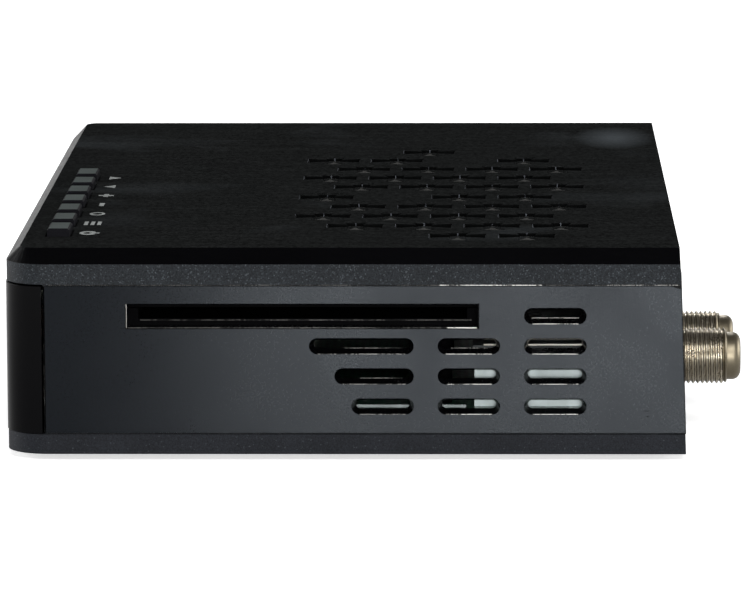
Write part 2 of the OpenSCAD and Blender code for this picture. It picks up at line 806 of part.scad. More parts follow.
module connector_insulators() in_place() color("#e9e6dc")
    for (i = [0, 1])
        translate([f_x[i], 0, f_z])
            difference() {
                bar_y(f_bore_r - 0.05, f_tip[i] - f_bore_l, f_tip[i] - 0.5);
                bar_y(f_contact_r + 0.05, f_tip[i] - f_bore_l + 1, f_tip[i] + 1);
            }

module connector_contacts() in_place() color("#c8a24a")
    for (i = [0, 1])
        translate([f_x[i], 0, f_z])
            difference() {
                bar_y(f_contact_r, f_tip[i] - f_bore_l + 1, f_tip[i] - 0.9);
                bar_y(f_contact_bore, f_tip[i] - f_bore_l + 2, f_tip[i] + 1);
            }

// Notch that lets the front screw post pass the card reader
module reader_notch() {
    translate([case_screw_at[0][0], case_screw_at[0][1], reader_low - 1])
        cylinder(r = post_r + play, h = reader_top - reader_low + 3);
}

module card_reader_frame() in_place() color("#17181a") {
    difference() {
        block([reader_x0, reader_y0, reader_low], [reader_x1, reader_y1, reader_top]);
        // card channel, open to the slot
        block([reader_x0 + 6, slot_y - card_w / 2, reader_floor], [reader_x1 + 1, slot_y + card_w / 2, reader_top + 1]);
        // well for the contacts
        block([reader_x0 + 10, slot_y - 8, reader_floor - 1.2], [reader_x0 + 24, slot_y + 8, reader_top]);
        // weight-saving windows under the channel
        for (x = [reader_x0 + 30, reader_x0 + 44], side = [-1, 1])
            block([x, slot_y + side * 16 - 6, reader_low - 1], [x + 8, slot_y + side * 16 + 6, reader_top]);
        reader_notch();
    }
    for (x = [reader_x0 + 8, reader_x1 - 6], y = [reader_y0 + 5, reader_leg_rear])
        translate([x, y, board_top]) cylinder(r = reader_leg_r, h = reader_low - board_top + eps);
}

module card_reader_cover() in_place() color("#a7abae")
    difference() {
        block([reader_x0, reader_y0, reader_top], [reader_x1 - 1, reader_y1, reader_top + reader_cover_t]);
        for (side = [-1, 1])
            translate([reader_x0 + 34, slot_y + side * 15, reader_top - 1]) linear_extrude(3) stadium(30, 5);
        reader_notch();
    }

module card_contacts() in_place() color("#c8a24a")
    for (i = [-3.5 : 3.5])
        translate([reader_x0 + 17, slot_y + i * 1.9, reader_floor - 1.2])
            along_y(-0.5, 0.5)
                polygon([[-6, 0], [6, 0], [6, 0.3], [3, 0.4], [0.6, 1.5], [-0.4, 1.5], [-1, 1.2],
                    [0.1, 1.2], [2.2, 0.3], [-6, 0.3]]);

// Metal socket shell: open towards the rear, closed inside
module socket_shell(w, h, l) {
    difference() {
        block([-w / 2, socket_front - l, board_top], [w / 2, socket_front, board_top + h]);
        block([socket_t - w / 2, socket_front - l + 1, board_top + socket_t],
            [w / 2 - socket_t, socket_front + 1, board_top + h - socket_t]);
    }
}

module hdmi_socket() in_place() color("#a9adb0")
    translate([hdmi_x, 0, 0]) {
        socket_shell(hdmi_w, hdmi_h, hdmi_l);
        // filled lower corners give the mouth its sloped shape
        for (side = [0, 1])
            mirror([side, 0, 0]) along_y(socket_front - hdmi_l + 1, socket_front - 0.2)
                polygon([[hdmi_w / 2 - socket_t + eps, board_top + socket_t - eps],
                    [hdmi_w / 2 - socket_t + eps, board_top + 2.4], [hdmi_w / 2 - 2.2, board_top + socket_t - eps]]);
    }

module usb_socket() in_place() color("#a9adb0")
    translate([usb_x, 0, 0]) socket_shell(usb_w, usb_h, usb_l);

module socket_tongues() in_place() color("#1c1c1e") {
    block([hdmi_x - 5.8, socket_front - hdmi_l + 1, board_top + 2.4],
        [hdmi_x + 5.8, socket_front - 1.5, board_top + 4.2]);
    block([usb_x - 5.6, socket_front - usb_l + 1, board_top + 3.4],
        [usb_x + 5.6, socket_front - 1, board_top + 5.1]);
}

module av_jack() in_place() color("#161618")
    translate([av_x, 0, 0])
        difference() {
            union() {
                block([-3.5, panel_inner - jack_l, board_top], [3.5, panel_inner - 0.1, av_z + 3]);
                translate([0, 0, av_z]) bar_y(av_nose_r, panel_inner - 0.1 - eps, panel_y + 0.4);
            }
            translate([0, 0, av_z]) bar_y(av_bore_r, panel_y + 0.4 - jack_bore_l, panel_y + 1);
        }

module dc_jack() in_place() color("#161618")
    translate([dc_x, 0, 0])
        difference() {
            union() {
                block([-4.5, panel_inner - jack_l, board_top], [4.5, panel_inner - 0.1, dc_z + 4.5]);
                translate([0, 0, dc_z]) bar_y(dc_nose_r, panel_inner - 0.1 - eps, panel_y + 0.2);
            }
            translate([0, 0, dc_z]) bar_y(dc_bore_r, panel_y + 0.2 - jack_bore_l, panel_y + 1);
        }

module dc_jack_pin() in_place() color("#c3c5c7")
    translate([dc_x, 0, dc_z]) {
        bar_y(dc_pin_r, panel_y + 0.2 - jack_bore_l, panel_y - 1);
        translate([0, panel_y - 1, 0]) sphere(dc_pin_r);
    }

module processor() in_place() color("#1b1b1d")
    block([chip_x - chip_w / 2, chip_y - chip_w / 2, board_top], [chip_x + chip_w / 2, chip_y + chip_w / 2, board_top + chip_h]);

// Heat sink: a comb profile with upright fins
module heat_sink() in_place() color("#2e3033") {
    base = board_top + chip_h;
    step = (sink_w - fin_t) / (fin_count - 1);
    translate([chip_x, 0, 0]) {
        block([-sink_w / 2, chip_y - sink_w / 2, base], [sink_w / 2, chip_y + sink_w / 2, base + 1.5]);
        for (i = [0 : fin_count - 1])
            block([i * step - sink_w / 2, chip_y - sink_w / 2, base + 1.5 - eps],
                [i * step - sink_w / 2 + fin_t, chip_y + sink_w / 2, base + sink_h]);
    }
}

module memory_chips() in_place() color("#1b1b1d") {
    block([chip_x - 6.5, chip_y + 16, board_top], [chip_x + 6.5, chip_y + 25, board_top + 1.1]);
    block([chip_x - 28.5, chip_y - 6.5, board_top], [chip_x - 19.5, chip_y + 6.5, board_top + 1.1]);
}

// Electrolytic capacitor with a crimped neck and a domed rim
module capacitor(r, h) {
    rotate_extrude() polygon([[0, 0], [r - 0.3, 0], [r, 0.4], [r, 1.2], [r - 0.3, 1.6], [r, 2],
        [r, h - 0.5], [r - 0.5, h], [0, h - 0.15]]);
}

module capacitors() in_place() color("#20242c")
    for (at = [[77, 24, 4, 11], [77, 37, 4, 11], [65, 23, 3.15, 9], [53, 23, 3.15, 9], [14, 41, 3.15, 9],
        [14, 77, 4, 9]])
        translate(concat(on_board(at[0], at[1]), board_top)) capacitor(at[2], at[3]);

module inductors() in_place() color("#3a3a3c")
    for (at = [[89, 39], [89, 51], [77, 50], [63, 35]])
        translate(concat(on_board(at[0], at[1]), board_top)) {
            block([-3.5, -3.5, 0], [3.5, 3.5, 0.8]);
            translate([0, 0, 0.8 - eps]) cylinder(r = 2.6, h = 1.9);
            translate([0, 0, 2.7 - eps]) cylinder(r = 3.4, h = 0.8);
        }

module crystal() in_place() color("#c4c7c9")
    translate([chip_x + 18, chip_y - 8, board_top]) {
        linear_extrude(0.5) stadium(11, 4.8);
        linear_extrude(3.5) stadium(10.2, 3.9);
    }

module regulators() in_place() color("#1b1b1d")
    for (at = [[77, 67], [77, 79], [61, 73]])
        translate(concat(on_board(at[0], at[1]), board_top)) {
            block([-3.3, -3, 0], [3.3, 3, 2.3]);
            block([-2.6, 3 - eps, 0], [2.6, 5, 0.6]);
        }

header_y = board_front + 8;
key_header_y = board_front + 6;
module board_headers() in_place() color("#e4e0d2") {
    block([-header_l / 2, header_y - header_w / 2, board_top], [header_l / 2, header_y + header_w / 2, board_top + header_h]);
    block([-header_l / 2, front_board_y + board_t, front_board_z + 1.5],
        [header_l / 2, front_board_y + board_t + header_w, front_board_z + 1.5 + header_h]);
    block([key_header_x - key_header_l / 2, key_header_y, board_top],
        [key_header_x + key_header_l / 2, key_header_y + header_w, board_top + 4.6]);
    block([key_header_x - key_header_l / 2, key_y - header_w / 2, key_board_z - header_h],
        [key_header_x + key_header_l / 2, key_y + header_w / 2, key_board_z]);
}

// Flat ribbon that arches from the front board's header to the main board's
module front_ribbon() in_place() color("#d9d6cc") {
    y0 = front_board_y + board_t + header_w / 2;
    y1 = header_y;
    arch_r = (y1 - y0) / 2;
    z0 = front_board_z + 1.5 + header_h;
    z1 = board_top + header_h;
    spring_z = max(z0, z1) + 1;
    along_x(header_l - 3) {
        translate([(y0 + y1) / 2, spring_z]) difference() {
            circle(arch_r + ribbon_t / 2);
            circle(arch_r - ribbon_t / 2);
            translate([-2 * arch_r, -4 * arch_r]) square(4 * arch_r);
        }
        translate([y0 - ribbon_t / 2, z0]) square([ribbon_t, spring_z - z0 + eps]);
        translate([y1 - ribbon_t / 2, z1]) square([ribbon_t, spring_z - z1 + eps]);
    }
}

// Flat ribbon that drops from the key board's header and turns into the main board's
module key_ribbon() in_place() color("#d9d6cc") {
    bend_r = 4;
    z_low = board_top + 2.8;
    z_top = key_board_z - header_h;
    translate([key_header_x, 0, 0]) along_x(key_header_l - 3) {
        translate([key_y - ribbon_t / 2, z_low + bend_r]) square([ribbon_t, z_top - z_low - bend_r]);
        translate([key_y + bend_r, z_low + bend_r]) difference() {
            circle(bend_r + ribbon_t / 2);
            circle(bend_r - ribbon_t / 2);
            translate([-2 * bend_r, 0]) square(4 * bend_r);
            translate([0, -2 * bend_r]) square(4 * bend_r);
        }
        translate([key_y + bend_r - eps, z_low - ribbon_t / 2])
            square([key_header_y - key_y - bend_r + eps, ribbon_t]);
    }
}

base_tray();
top_cover();
side_panel_right();
side_panel_left();
front_fascia();
display_window();
rear_panel();
rubber_feet();
case_screws();
board_screws();
key_power();
key_menu();
key_ok();
key_volume_down();
key_volume_up();
key_channel_down();
key_channel_up();
plunger_power();
plunger_menu();
plunger_ok();
plunger_volume_down();
plunger_volume_up();
plunger_channel_down();
plunger_channel_up();
key_board();
key_switches();
main_board();
front_board();
display_module();
ir_receiver();
status_leds();
tuner_shield();
tuner_lid();
lnb_in_connector();
loop_out_connector();
connector_insulators();
connector_contacts();
card_reader_frame();
card_reader_cover();
card_contacts();
hdmi_socket();
usb_socket();
av_jack();
dc_jack();
socket_tongues();
dc_jack_pin();
processor();
heat_sink();
memory_chips();
capacitors();
inductors();
crystal();
regulators();
board_headers();
front_ribbon();
key_ribbon();
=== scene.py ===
import math

import bmesh
import bpy
from mathutils import Matrix, Vector


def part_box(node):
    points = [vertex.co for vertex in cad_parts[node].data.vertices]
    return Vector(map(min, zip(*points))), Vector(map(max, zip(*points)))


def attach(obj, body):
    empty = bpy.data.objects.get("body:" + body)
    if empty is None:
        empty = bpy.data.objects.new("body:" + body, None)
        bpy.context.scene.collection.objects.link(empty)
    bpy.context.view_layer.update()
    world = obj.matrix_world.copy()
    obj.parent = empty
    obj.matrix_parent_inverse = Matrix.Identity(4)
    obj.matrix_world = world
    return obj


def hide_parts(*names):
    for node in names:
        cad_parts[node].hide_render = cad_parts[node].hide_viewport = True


bl_info = {
    "name": "Small Satellite Receiver",
    "version": (1, 0, 0),
    "blender": (4, 5, 0),
    "location": "View3D > Sidebar > Receiver",
    "description": "Dresses a small satellite receiver round its packed frame",
    "category": "Object",
}

MM = 0.001
KEYS = ("power", "menu", "ok", "volume_down", "volume_up", "channel_down", "channel_up")

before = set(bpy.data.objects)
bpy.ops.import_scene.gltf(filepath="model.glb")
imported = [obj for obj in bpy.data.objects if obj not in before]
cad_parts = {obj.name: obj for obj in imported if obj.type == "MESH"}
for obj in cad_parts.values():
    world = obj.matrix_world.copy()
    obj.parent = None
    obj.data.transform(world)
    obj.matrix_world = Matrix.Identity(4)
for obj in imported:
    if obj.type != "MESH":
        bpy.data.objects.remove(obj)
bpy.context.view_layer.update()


def linear(code):
    """Linear red, green and blue of an sRGB hex colour such as #2a2c2f."""
    parts = [int(code[i : i + 2], 16) / 255 for i in (1, 3, 5)]
    return tuple(p / 12.92 if p <= 0.04045 else ((p + 0.055) / 1.055) ** 2.4 for p in parts)


def length(name, description, value_mm):
    """A length property with its default given in millimetres."""
    return bpy.props.FloatProperty(
        name=name, description=description, default=value_mm * MM, min=0, precision=5, unit="LENGTH"
    )


def colour(name, description, code):
    """A colour property with its default given as sRGB hex."""
    return bpy.props.FloatVectorProperty(
        name=name, description=description, default=linear(code), min=0, max=1, subtype="COLOR"
    )


def lamp_power(name, description, value):
    """The power of a lamp in watts."""
    return bpy.props.FloatProperty(name=name, description=description, default=value, min=0, unit="POWER")


def brightness(name, description, value):
    """A brightness, where 1 is white."""
    return bpy.props.FloatProperty(name=name, description=description, default=value, min=0, subtype="FACTOR")


class ReceiverSizes(bpy.types.PropertyGroup):
    """Lengths of the receiver's fine details."""

    thread_pitch: length("Thread pitch", "Rise of the F connector's thread in one turn, 1/32 inch", 0.79375)
    thread_depth: length("Thread depth", "Depth of the F connector's thread", 0.45)
    nose_long: length("Nose length", "Length of the smooth end in front of the thread", 2.3)
    nose_round: length("Nose rounding", "Rounding of the F connector's open end", 1.35)
    mark_size: length("Mark size", "Size of the printed mark behind each key", 3.0)
    mark_thick: length("Print thickness", "Height of the printed ink above the cover", 0.03)
    mark_gap: length("Mark distance", "From the middle of a key to the middle of its mark", 4.8)
    grain: length("Moulding grain", "Size of the spark eroded grain", 0.18)
    edge: length("Edge rounding", "Rounding that moulded edges show", 0.12)
    bow: length("Panel bow", "How far the side panels fall away towards the front", 4.1)


class ReceiverColours(bpy.types.PropertyGroup):
    """Colours of the receiver's materials."""

    textured: colour("Textured ABS", "Spark eroded black of the cover's band", "#1c1f22")
    base: colour("Base", "Spark eroded black of the base", "#1c1e22")
    top: colour("Top", "Top of the cover", "#181919")
    # Pale colour of the specks painted as glints in the spark eroded plastics, also the colour of the dust
    # smudge on the top
    glint_speck_and_dust: colour("Specks", "Bright facets of the texture", "#7a8187")
    satin: colour("Satin ABS", "Side panels", "#04060a")
    gloss: colour("Gloss ABS", "Front fascia and sloped edge", "#040405")
    # Pale colour of the glints painted along moulded edges in dotted lines
    rub_and_glint: colour("Rubbed edge", "Moulded edges rubbed bright", "#f0eee8")
    key: colour("Keys", "Tops of the key caps", "#484d4c")
    key_side_painted_shade: colour("Key sides", "Sides of the key caps", "#141417")
    # Darker colour painted on the sides of the keys as shade
    ink: colour("Ink", "Printed marks", "#8d908f")
    smoke: colour("Window", "Smoked window", "#c8a8a2")
    thread: colour("Cut thread", "Thread of the F connectors", "#cfc6b5")
    nickel: colour("Nickel", "Turned ends of the F connectors", "#7a7261")
    tin: colour("Tin plate", "Tuner can", "#8a9292")
    mask: colour("Solder mask", "Circuit boards", "#14392a")
    floor: colour("Floor", "Studio floor", "#e6e6e6")


class StudioSettings(bpy.types.PropertyGroup):
    """Light levels of the studio."""

    key_power: lamp_power("Key lamp", "Low soft lamp on the card slot side", 16.5)
    fill_power: lamp_power("Fill lamp", "High soft lamp on the card slot side", 12)
    room_power: lamp_power("Room lamps", "Each soft lamp on the other sides", 20)
    wall: brightness("Walls", "Brightness of the walls", 0.4)
    ceiling: brightness("Ceiling", "Brightness of the ceiling", 0.12)
    glow: brightness("Floor glow", "Added to the floor where it is seen", 0.62)


def add(tree, kind, inputs=(), **settings):
    """Adds a node with its settings. A kind without Node in it is that of a shader node.

    Inputs come in order, or by name or number. Each is a value, an output or a node, for its first output."""
    node = tree.nodes.new(kind if "Node" in kind else "ShaderNode" + kind)
    for name, value in settings.items():
        setattr(node, name, value)
    for name, value in inputs.items() if isinstance(inputs, dict) else enumerate(inputs):
        socket = node.inputs[name]
        if isinstance(value, bpy.types.Node):
            value = next(output for output in value.outputs if output.enabled)
        if isinstance(value, bpy.types.NodeSocket):
            tree.links.new(value, socket)
        else:
            socket.default_value = (*value, 1.0) if socket.type == "RGBA" else value
    return node


def tint(value, factor):
    """A colour made lighter or darker."""
    return tuple(min(1.0, c * factor) for c in value)


def start_material(name):
    """A new material, its empty tree and its Object coordinates."""
    material = bpy.data.materials.new(name)
    material.use_nodes = True
    material.node_tree.nodes.clear()
    where = add(material.node_tree, "TexCoord").outputs["Object"]
    return material, material.node_tree, where


def end_material(material, skin, roughness, normal=None, level=0.5, **more):
    """Ends a material in its shader and returns it."""
    inputs = {"Base Color": skin, "Roughness": roughness, "Specular IOR Level": level, **more}
    if normal:
        inputs["Normal"] = normal
    shader = add(material.node_tree, "BsdfPrincipled", inputs)
    add(material.node_tree, "OutputMaterial", {"Surface": shader})
    return material


def relief(tree, edge, height, depth, strength):
    """Normals of a surface with rounded edges and a fine relief."""
    rounded = add(tree, "Bevel", {"Radius": edge}, samples=4)
    return add(tree, "Bump", {"Height": height, "Distance": depth, "Strength": strength, "Normal": rounded})


# ---- plastics ----


def spark_eroded_abs(name, base, glint_speck_and_dust, grain, edge, share, glint, spread, level):
    """ABS moulded in a spark eroded tool: matte, with fine facets painted pale here and there as glints."""
    material, tree, where = start_material(name)
    cells = add(tree, "TexVoronoi", {"Vector": where, "Scale": 1 / grain})
    fine = add(tree, "TexNoise", {"Vector": where, "Scale": 0.8 / grain, "Detail": 3.0, "Roughness": 0.7})
    broad = add(tree, "TexNoise", {"Vector": where, "Scale": 1 / (9 * MM), "Detail": 4.0})
    grit = add(tree, "MapRange", [fine, 0.3, 0.7, 1 - spread, 1 + spread])
    cloud = add(tree, "MapRange", [broad, 0.35, 0.65, 0.9, 1.1])
    shade = add(tree, "Math", [grit, cloud], operation="MULTIPLY")
    body = add(tree, "Mix", {0: 1.0, 6: base, 7: shade}, data_type="RGBA", blend_type="MULTIPLY")
    # Painted glints: a share of the grain cells takes the pale speck colour
    painted_glint_share = add(tree, "MapRange", [cells.outputs["Color"], 1 - share, 1.0, 0.0, glint])
    skin = add(tree, "Mix", {0: painted_glint_share, 6: body, 7: glint_speck_and_dust}, data_type="RGBA")
    rough = add(tree, "MapRange", [fine, 0.3, 0.7, 0.52, 0.66])
    bump = relief(tree, edge, fine, 0.03 * MM, 0.6)
    return end_material(material, skin, rough, bump, level)


def wiped_matte_abs(name, base, dust_and_glint_tone, edge):
    """ABS with a fine matte tool finish: dull and dark, with hairline wiping marks and soft dust smudges."""
    material, tree, where = start_material(name)
    across = add(tree, "Mapping", {"Vector": where, "Rotation": (0, 0, 1.0), "Scale": (1.0, 0.03, 1.0)})
    hairs = {"Vector": across, "Scale": 1 / (0.5 * MM), "Detail": 3.0, "Distortion": 0.3}
    wiped = add(tree, "TexNoise", hairs)
    fine = add(tree, "TexNoise", {"Vector": where, "Scale": 1 / (0.7 * MM), "Detail": 3.0, "Roughness": 0.8})
    broad = add(tree, "TexNoise", {"Vector": where, "Scale": 1 / (34 * MM), "Detail": 3.0, "Distortion": 0.6})
    grit = add(tree, "MapRange", [fine, 0.3, 0.7, 0.3, 1.7])
    lines = add(tree, "MapRange", [wiped, 0.45, 0.75, 0.95, 1.5])
    shade = add(tree, "Math", [grit, lines], operation="MULTIPLY")
    body = add(tree, "Mix", {0: 1.0, 6: base, 7: shade}, data_type="RGBA", blend_type="MULTIPLY")
    # One oval smudge near the rear corner, counted in its own half lengths from the middle of the case
    half_lengths = (1 / (12 * MM), 1 / (5.6 * MM), 0)
    spot = add(tree, "Mapping", {"Vector": where, "Location": (4.9, -7.6, 0), "Scale": half_lengths})
    around = add(tree, "VectorMath", [spot], operation="LENGTH")
    rub_and_glint = add(tree, "MapRange", [around, 0.2, 1.4, 0.2, 0.0])
    cloudy = add(tree, "MapRange", [broad, 0.56, 0.74, 0.0, 0.05])
    smudge = add(tree, "Math", [rub_and_glint, cloudy], operation="ADD")
    skin = add(tree, "Mix", {0: smudge, 6: body, 7: dust_and_glint_tone}, data_type="RGBA")
    rough = add(tree, "MapRange", [fine, 0.3, 0.7, 0.84, 0.94])
    bump = relief(tree, edge, fine, 0.01 * MM, 0.5)
    return end_material(material, skin, rough, bump, 0.0)


def satin_abs(name, base, roughness, level, edge, front, rear, bow, lean=0.0):
    """ABS moulded in a stoned tool: satin, with faint orange peel, patchy sheen and the bow of a thin wall.

    The bow grows with the cube of the way from rear to front."""
    material, tree, where = start_material(name)
    peel = add(tree, "TexNoise", {"Vector": where, "Scale": 1 / (0.4 * MM), "Detail": 4.0, "Roughness": 0.7})
    broad = add(tree, "TexNoise", {"Vector": where, "Scale": 1 / (16 * MM), "Detail": 4.0, "Distortion": 0.4})
    mottled = add(tree, "MapRange", [peel, 0.3, 0.7, 0.0, 1.0])
    body = add(tree, "Mix", {0: mottled, 6: tint(base, 0.5), 7: tint(base, 1.6)}, data_type="RGBA")
    smooth, coarse = roughness - 0.05, roughness + 0.05
    cloud = add(tree, "MapRange", [broad, 0.3, 0.7, smooth, coarse])
    grit = add(tree, "MapRange", [peel, 0.3, 0.7, -0.07, 0.07])
    worn = add(tree, "Math", [cloud, grit], operation="ADD")
    at = add(tree, "SeparateXYZ", [where])
    share = add(tree, "MapRange", [at.outputs["Y"], rear, front, 0.0, 1.0])
    curve = add(tree, "Math", [share, 3.0], operation="POWER")
    bent = add(tree, "Math", [curve, -bow], operation="MULTIPLY")
    fall = add(tree, "Math", [at.outputs["Z"], -lean, bent], operation="MULTIPLY_ADD")
    bowed = relief(tree, edge, fall, 1.0, 1.0)
    bump = add(tree, "Bump", {"Height": peel, "Distance": 0.02 * MM, "Strength": 0.6, "Normal": bowed})
    return end_material(material, body, worn, bump, level, **{"Specular Tint": (0.86, 0.93, 1.0)})


def painted_glint_abs(name, dark, rub_and_glint, share, level=0.2):
    """Painted glints on a moulded edge: black plastic painted pale in a dotted line where the edge would
    catch the lamp.
    """
    material, tree, where = start_material(name)
    dots = add(tree, "TexNoise", {"Vector": where, "Scale": 1 / (0.3 * MM), "Detail": 1.0})
    runs = add(tree, "TexNoise", {"Vector": where, "Scale": 1 / (4 * MM), "Detail": 1.0})
    both = add(tree, "Math", [dots, runs], operation="ADD")
    start, end = 1.3 - 0.6 * share, 1.45 - 0.6 * share
    bright = add(tree, "MapRange", [both, start, end, 0.05, 1.0])
    skin = add(tree, "Mix", {0: bright, 6: dark, 7: rub_and_glint}, data_type="RGBA")
    return end_material(material, skin, 0.45, level=level)


def polished_abs(name, base, level, edge, roughness=0.06, painted_light_middle=None):
    """ABS from a mirror polished tool: deep gloss with hairline wiping marks, painted paler in the middle as
    light.

    The paler middle is full to 66 mm on each side of the middle and ends at 80 mm, where the corners start."""
    material, tree, where = start_material(name)
    stretched = add(tree, "Mapping", {"Vector": where, "Scale": (1.0, 1.0, 9.0)})
    hairs = {"Vector": stretched, "Scale": 1 / (4 * MM), "Detail": 6.0, "Distortion": 1.2}
    wiped = add(tree, "TexNoise", hairs)
    broad = add(tree, "TexNoise", {"Vector": where, "Scale": 1 / (25 * MM), "Detail": 2.0})
    rough = add(tree, "MapRange", [wiped, 0.35, 0.75, roughness, roughness + 0.1])
    shade = add(tree, "Mix", {0: broad, 6: tint(base, 0.7), 7: tint(base, 1.5)}, data_type="RGBA")
    at = add(tree, "SeparateXYZ", [where])
    sideways = add(tree, "Math", [at.outputs["X"]], operation="ABSOLUTE")
    middle = add(tree, "MapRange", [sideways, 80 * MM, 66 * MM, 0.0, 1.0])
    skin = add(tree, "Mix", {0: middle, 6: shade, 7: painted_light_middle or base}, data_type="RGBA")
    bump = relief(tree, edge, broad, 0.05 * MM, 0.2)
    return end_material(material, skin, rough, bump, level)


def moulded_plastic(name, base, roughness, grain=0.4 * MM, spread=0.25, level=0.3):
    """Plain moulded plastic of small parts: even colour with a faint grain and flow clouds."""
    material, tree, where = start_material(name)
    fine = add(tree, "TexNoise", {"Vector": where, "Scale": 1 / grain, "Detail": 3.0})
    cloud = add(tree, "TexNoise", {"Vector": where, "Scale": 1 / (9 * MM), "Detail": 2.0})
    both = add(tree, "Math", [fine, cloud], operation="ADD")
    fade = add(tree, "MapRange", [both, 0.7, 1.3, 0.0, 1.0])
    dark, pale = tint(base, 1 - spread), tint(base, 1 + spread)
    body = add(tree, "Mix", {0: fade, 6: dark, 7: pale}, data_type="RGBA")
    smooth, coarse = roughness - 0.05, roughness + 0.05
    rough = add(tree, "MapRange", [fine, 0.3, 0.7, smooth, coarse])
    bump = relief(tree, 0.08 * MM, fine, 0.008 * MM, 0.5)
    return end_material(material, body, rough, bump, level)


def clear_plastic(name, base, roughness, clear, level=0.5):
    """Tinted acrylic or polycarbonate: light passes through it and takes its colour."""
    material, tree, where = start_material(name)
    cloud = add(tree, "TexNoise", {"Vector": where, "Scale": 1 / (12 * MM), "Detail": 3.0})
    body = add(tree, "Mix", {0: cloud, 6: tint(base, 0.85), 7: tint(base, 1.15)}, data_type="RGBA")
    rough = add(tree, "MapRange", [cloud, 0.3, 0.7, roughness, roughness + 0.04])
    return end_material(material, body, rough, level=level, **{"Transmission Weight": clear, "IOR": 1.49})


def striped_film(name, base, stripe, pitch):
    """Laminated ribbon: pale film with tinned conductors that show through as even stripes."""
    material, tree, where = start_material(name)
    at = add(tree, "SeparateXYZ", [where])
    turns = add(tree, "Math", [at.outputs["X"], 1 / pitch], operation="MULTIPLY")
    wave = add(tree, "Math", [turns, 0.5], operation="PINGPONG")
    lines = add(tree, "MapRange", [wave, 0.2, 0.28, 1.0, 0.0])
    haze = add(tree, "TexNoise", {"Vector": where, "Scale": 1 / (3 * MM)})
    film = add(tree, "Mix", {0: haze, 6: tint(base, 0.85), 7: base}, data_type="RGBA")
    skin = add(tree, "Mix", {0: lines, 6: film, 7: stripe}, data_type="RGBA")
    rough = add(tree, "MapRange", [haze, 0.3, 0.7, 0.3, 0.45])
    return end_material(material, skin, rough)


# ---- metals and boards ----


def plated_metal(name, base, roughness, stain, streak=(1.0, 1.0, 1.0)):
    """Electroplated or stamped metal: drawn streaks, handling stains and soft reflections."""
    material, tree, where = start_material(name)
    drawn = add(tree, "Mapping", {"Vector": where, "Scale": streak})
    streaks = {"Vector": drawn, "Scale": 1 / (0.35 * MM), "Detail": 4.0, "Roughness": 0.7}
    lines = add(tree, "TexNoise", streaks)
    cloud = add(tree, "TexNoise", {"Vector": where, "Scale": 1 / (5 * MM), "Detail": 5.0, "Distortion": 0.6})
    fade = add(tree, "MapRange", [cloud, 0.35, 0.7, 0.0, 1.0])
    body = add(tree, "Mix", {0: fade, 6: base, 7: stain}, data_type="RGBA")
    both = add(tree, "Math", [lines, cloud], operation="ADD")
    smooth, coarse = roughness - 0.07, roughness + 0.1
    rough = add(tree, "MapRange", [both, 0.7, 1.3, smooth, coarse])
    bump = relief(tree, 0.06 * MM, lines, 0.006 * MM, 0.4)
    return end_material(material, body, rough, bump, Metallic=1.0)


def masked_board(name, mask):
    """Glass epoxy board under green solder mask: copper tracks stand out a little paler, with tinned pads."""
    material, tree, where = start_material(name)
    layout = {
        "Vector": where,
        "Scale": 1.0,
        "Mortar Size": 0.3 * MM,
        "Mortar Smooth": 0.0,
        "Brick Width": 7.5 * MM,
        "Row Height": 1.3 * MM,
        "Color1": (0, 0, 0),
        "Color2": (0, 0, 0),
        "Mortar": (1, 1, 1),
    }
    tracks = add(tree, "TexBrick", layout, offset=0.37, squash=0.6, squash_frequency=3)
    pads = add(tree, "TexVoronoi", {"Vector": where, "Scale": 1 / (3.4 * MM), "Randomness": 0.85})
    holes = add(tree, "MapRange", [pads.outputs["Distance"], 0.1, 0.13, 1.0, 0.0])
    weave = add(tree, "TexNoise", {"Vector": where, "Scale": 1 / (0.8 * MM), "Detail": 2.0})
    green = add(tree, "Mix", {0: weave, 6: tint(mask, 0.75), 7: tint(mask, 1.2)}, data_type="RGBA")
    lines = add(tree, "Mix", {0: tracks, 6: green, 7: tint(mask, 1.9)}, data_type="RGBA")
    skin = add(tree, "Mix", {0: holes, 6: lines, 7: linear("#b9bab4")}, data_type="RGBA")
    bump = add(tree, "Bump", {"Height": tracks, "Distance": 0.03 * MM, "Strength": 0.5})
    rough = add(tree, "MapRange", [weave, 0.3, 0.7, 0.28, 0.42])
    return end_material(material, skin, rough, bump)


def sawn_laminate(name, base):
    """Sawn edge of a glass epoxy board: pale, with the layers of glass cloth as faint lines."""
    material, tree, where = start_material(name)
    layers = add(tree, "Mapping", {"Vector": where, "Scale": (0.15, 0.15, 1.0)})
    cloth = add(tree, "TexNoise", {"Vector": layers, "Scale": 1 / (0.2 * MM), "Detail": 2.0})
    skin = add(tree, "Mix", {0: cloth, 6: tint(base, 0.7), 7: tint(base, 1.25)}, data_type="RGBA")
    return end_material(material, skin, 0.6)


# ---- making pieces ----


def own_mesh(name, mesh, material):
    """Puts a finished mesh in the scene as a piece that rides on the case."""
    piece = bpy.data.objects.new(name, mesh)
    bpy.context.scene.collection.objects.link(piece)
    mesh.materials.clear()
    mesh.materials.append(material)
    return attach(piece, "case")


def mesh_of(name, form, smooth=False):
    """Turns a bmesh into a mesh with clean outward normals."""
    bmesh.ops.remove_doubles(form, verts=form.verts, dist=1e-7)
    bmesh.ops.recalc_face_normals(form, faces=form.faces)
    for face in form.faces:
        face.smooth = smooth
    mesh = bpy.data.meshes.new(name)
    form.to_mesh(mesh)
    form.free()
    return mesh


def made(name, form, material, smooth=False):
    """Turns a bmesh into a piece that rides on the case."""
    return own_mesh(name, mesh_of(name, form, smooth), material)


def tube(form, rings, closed=True):
    """Adds the faces between rings of vertices, and the two end faces."""
    for first, second in zip(rings, rings[1:]):
        for i in range(len(first)):
            j = (i + 1) % len(first)
            form.faces.new((first[i], first[j], second[j], second[i]))
    if closed:
        form.faces.new(reversed(rings[0]))
        form.faces.new(rings[-1])


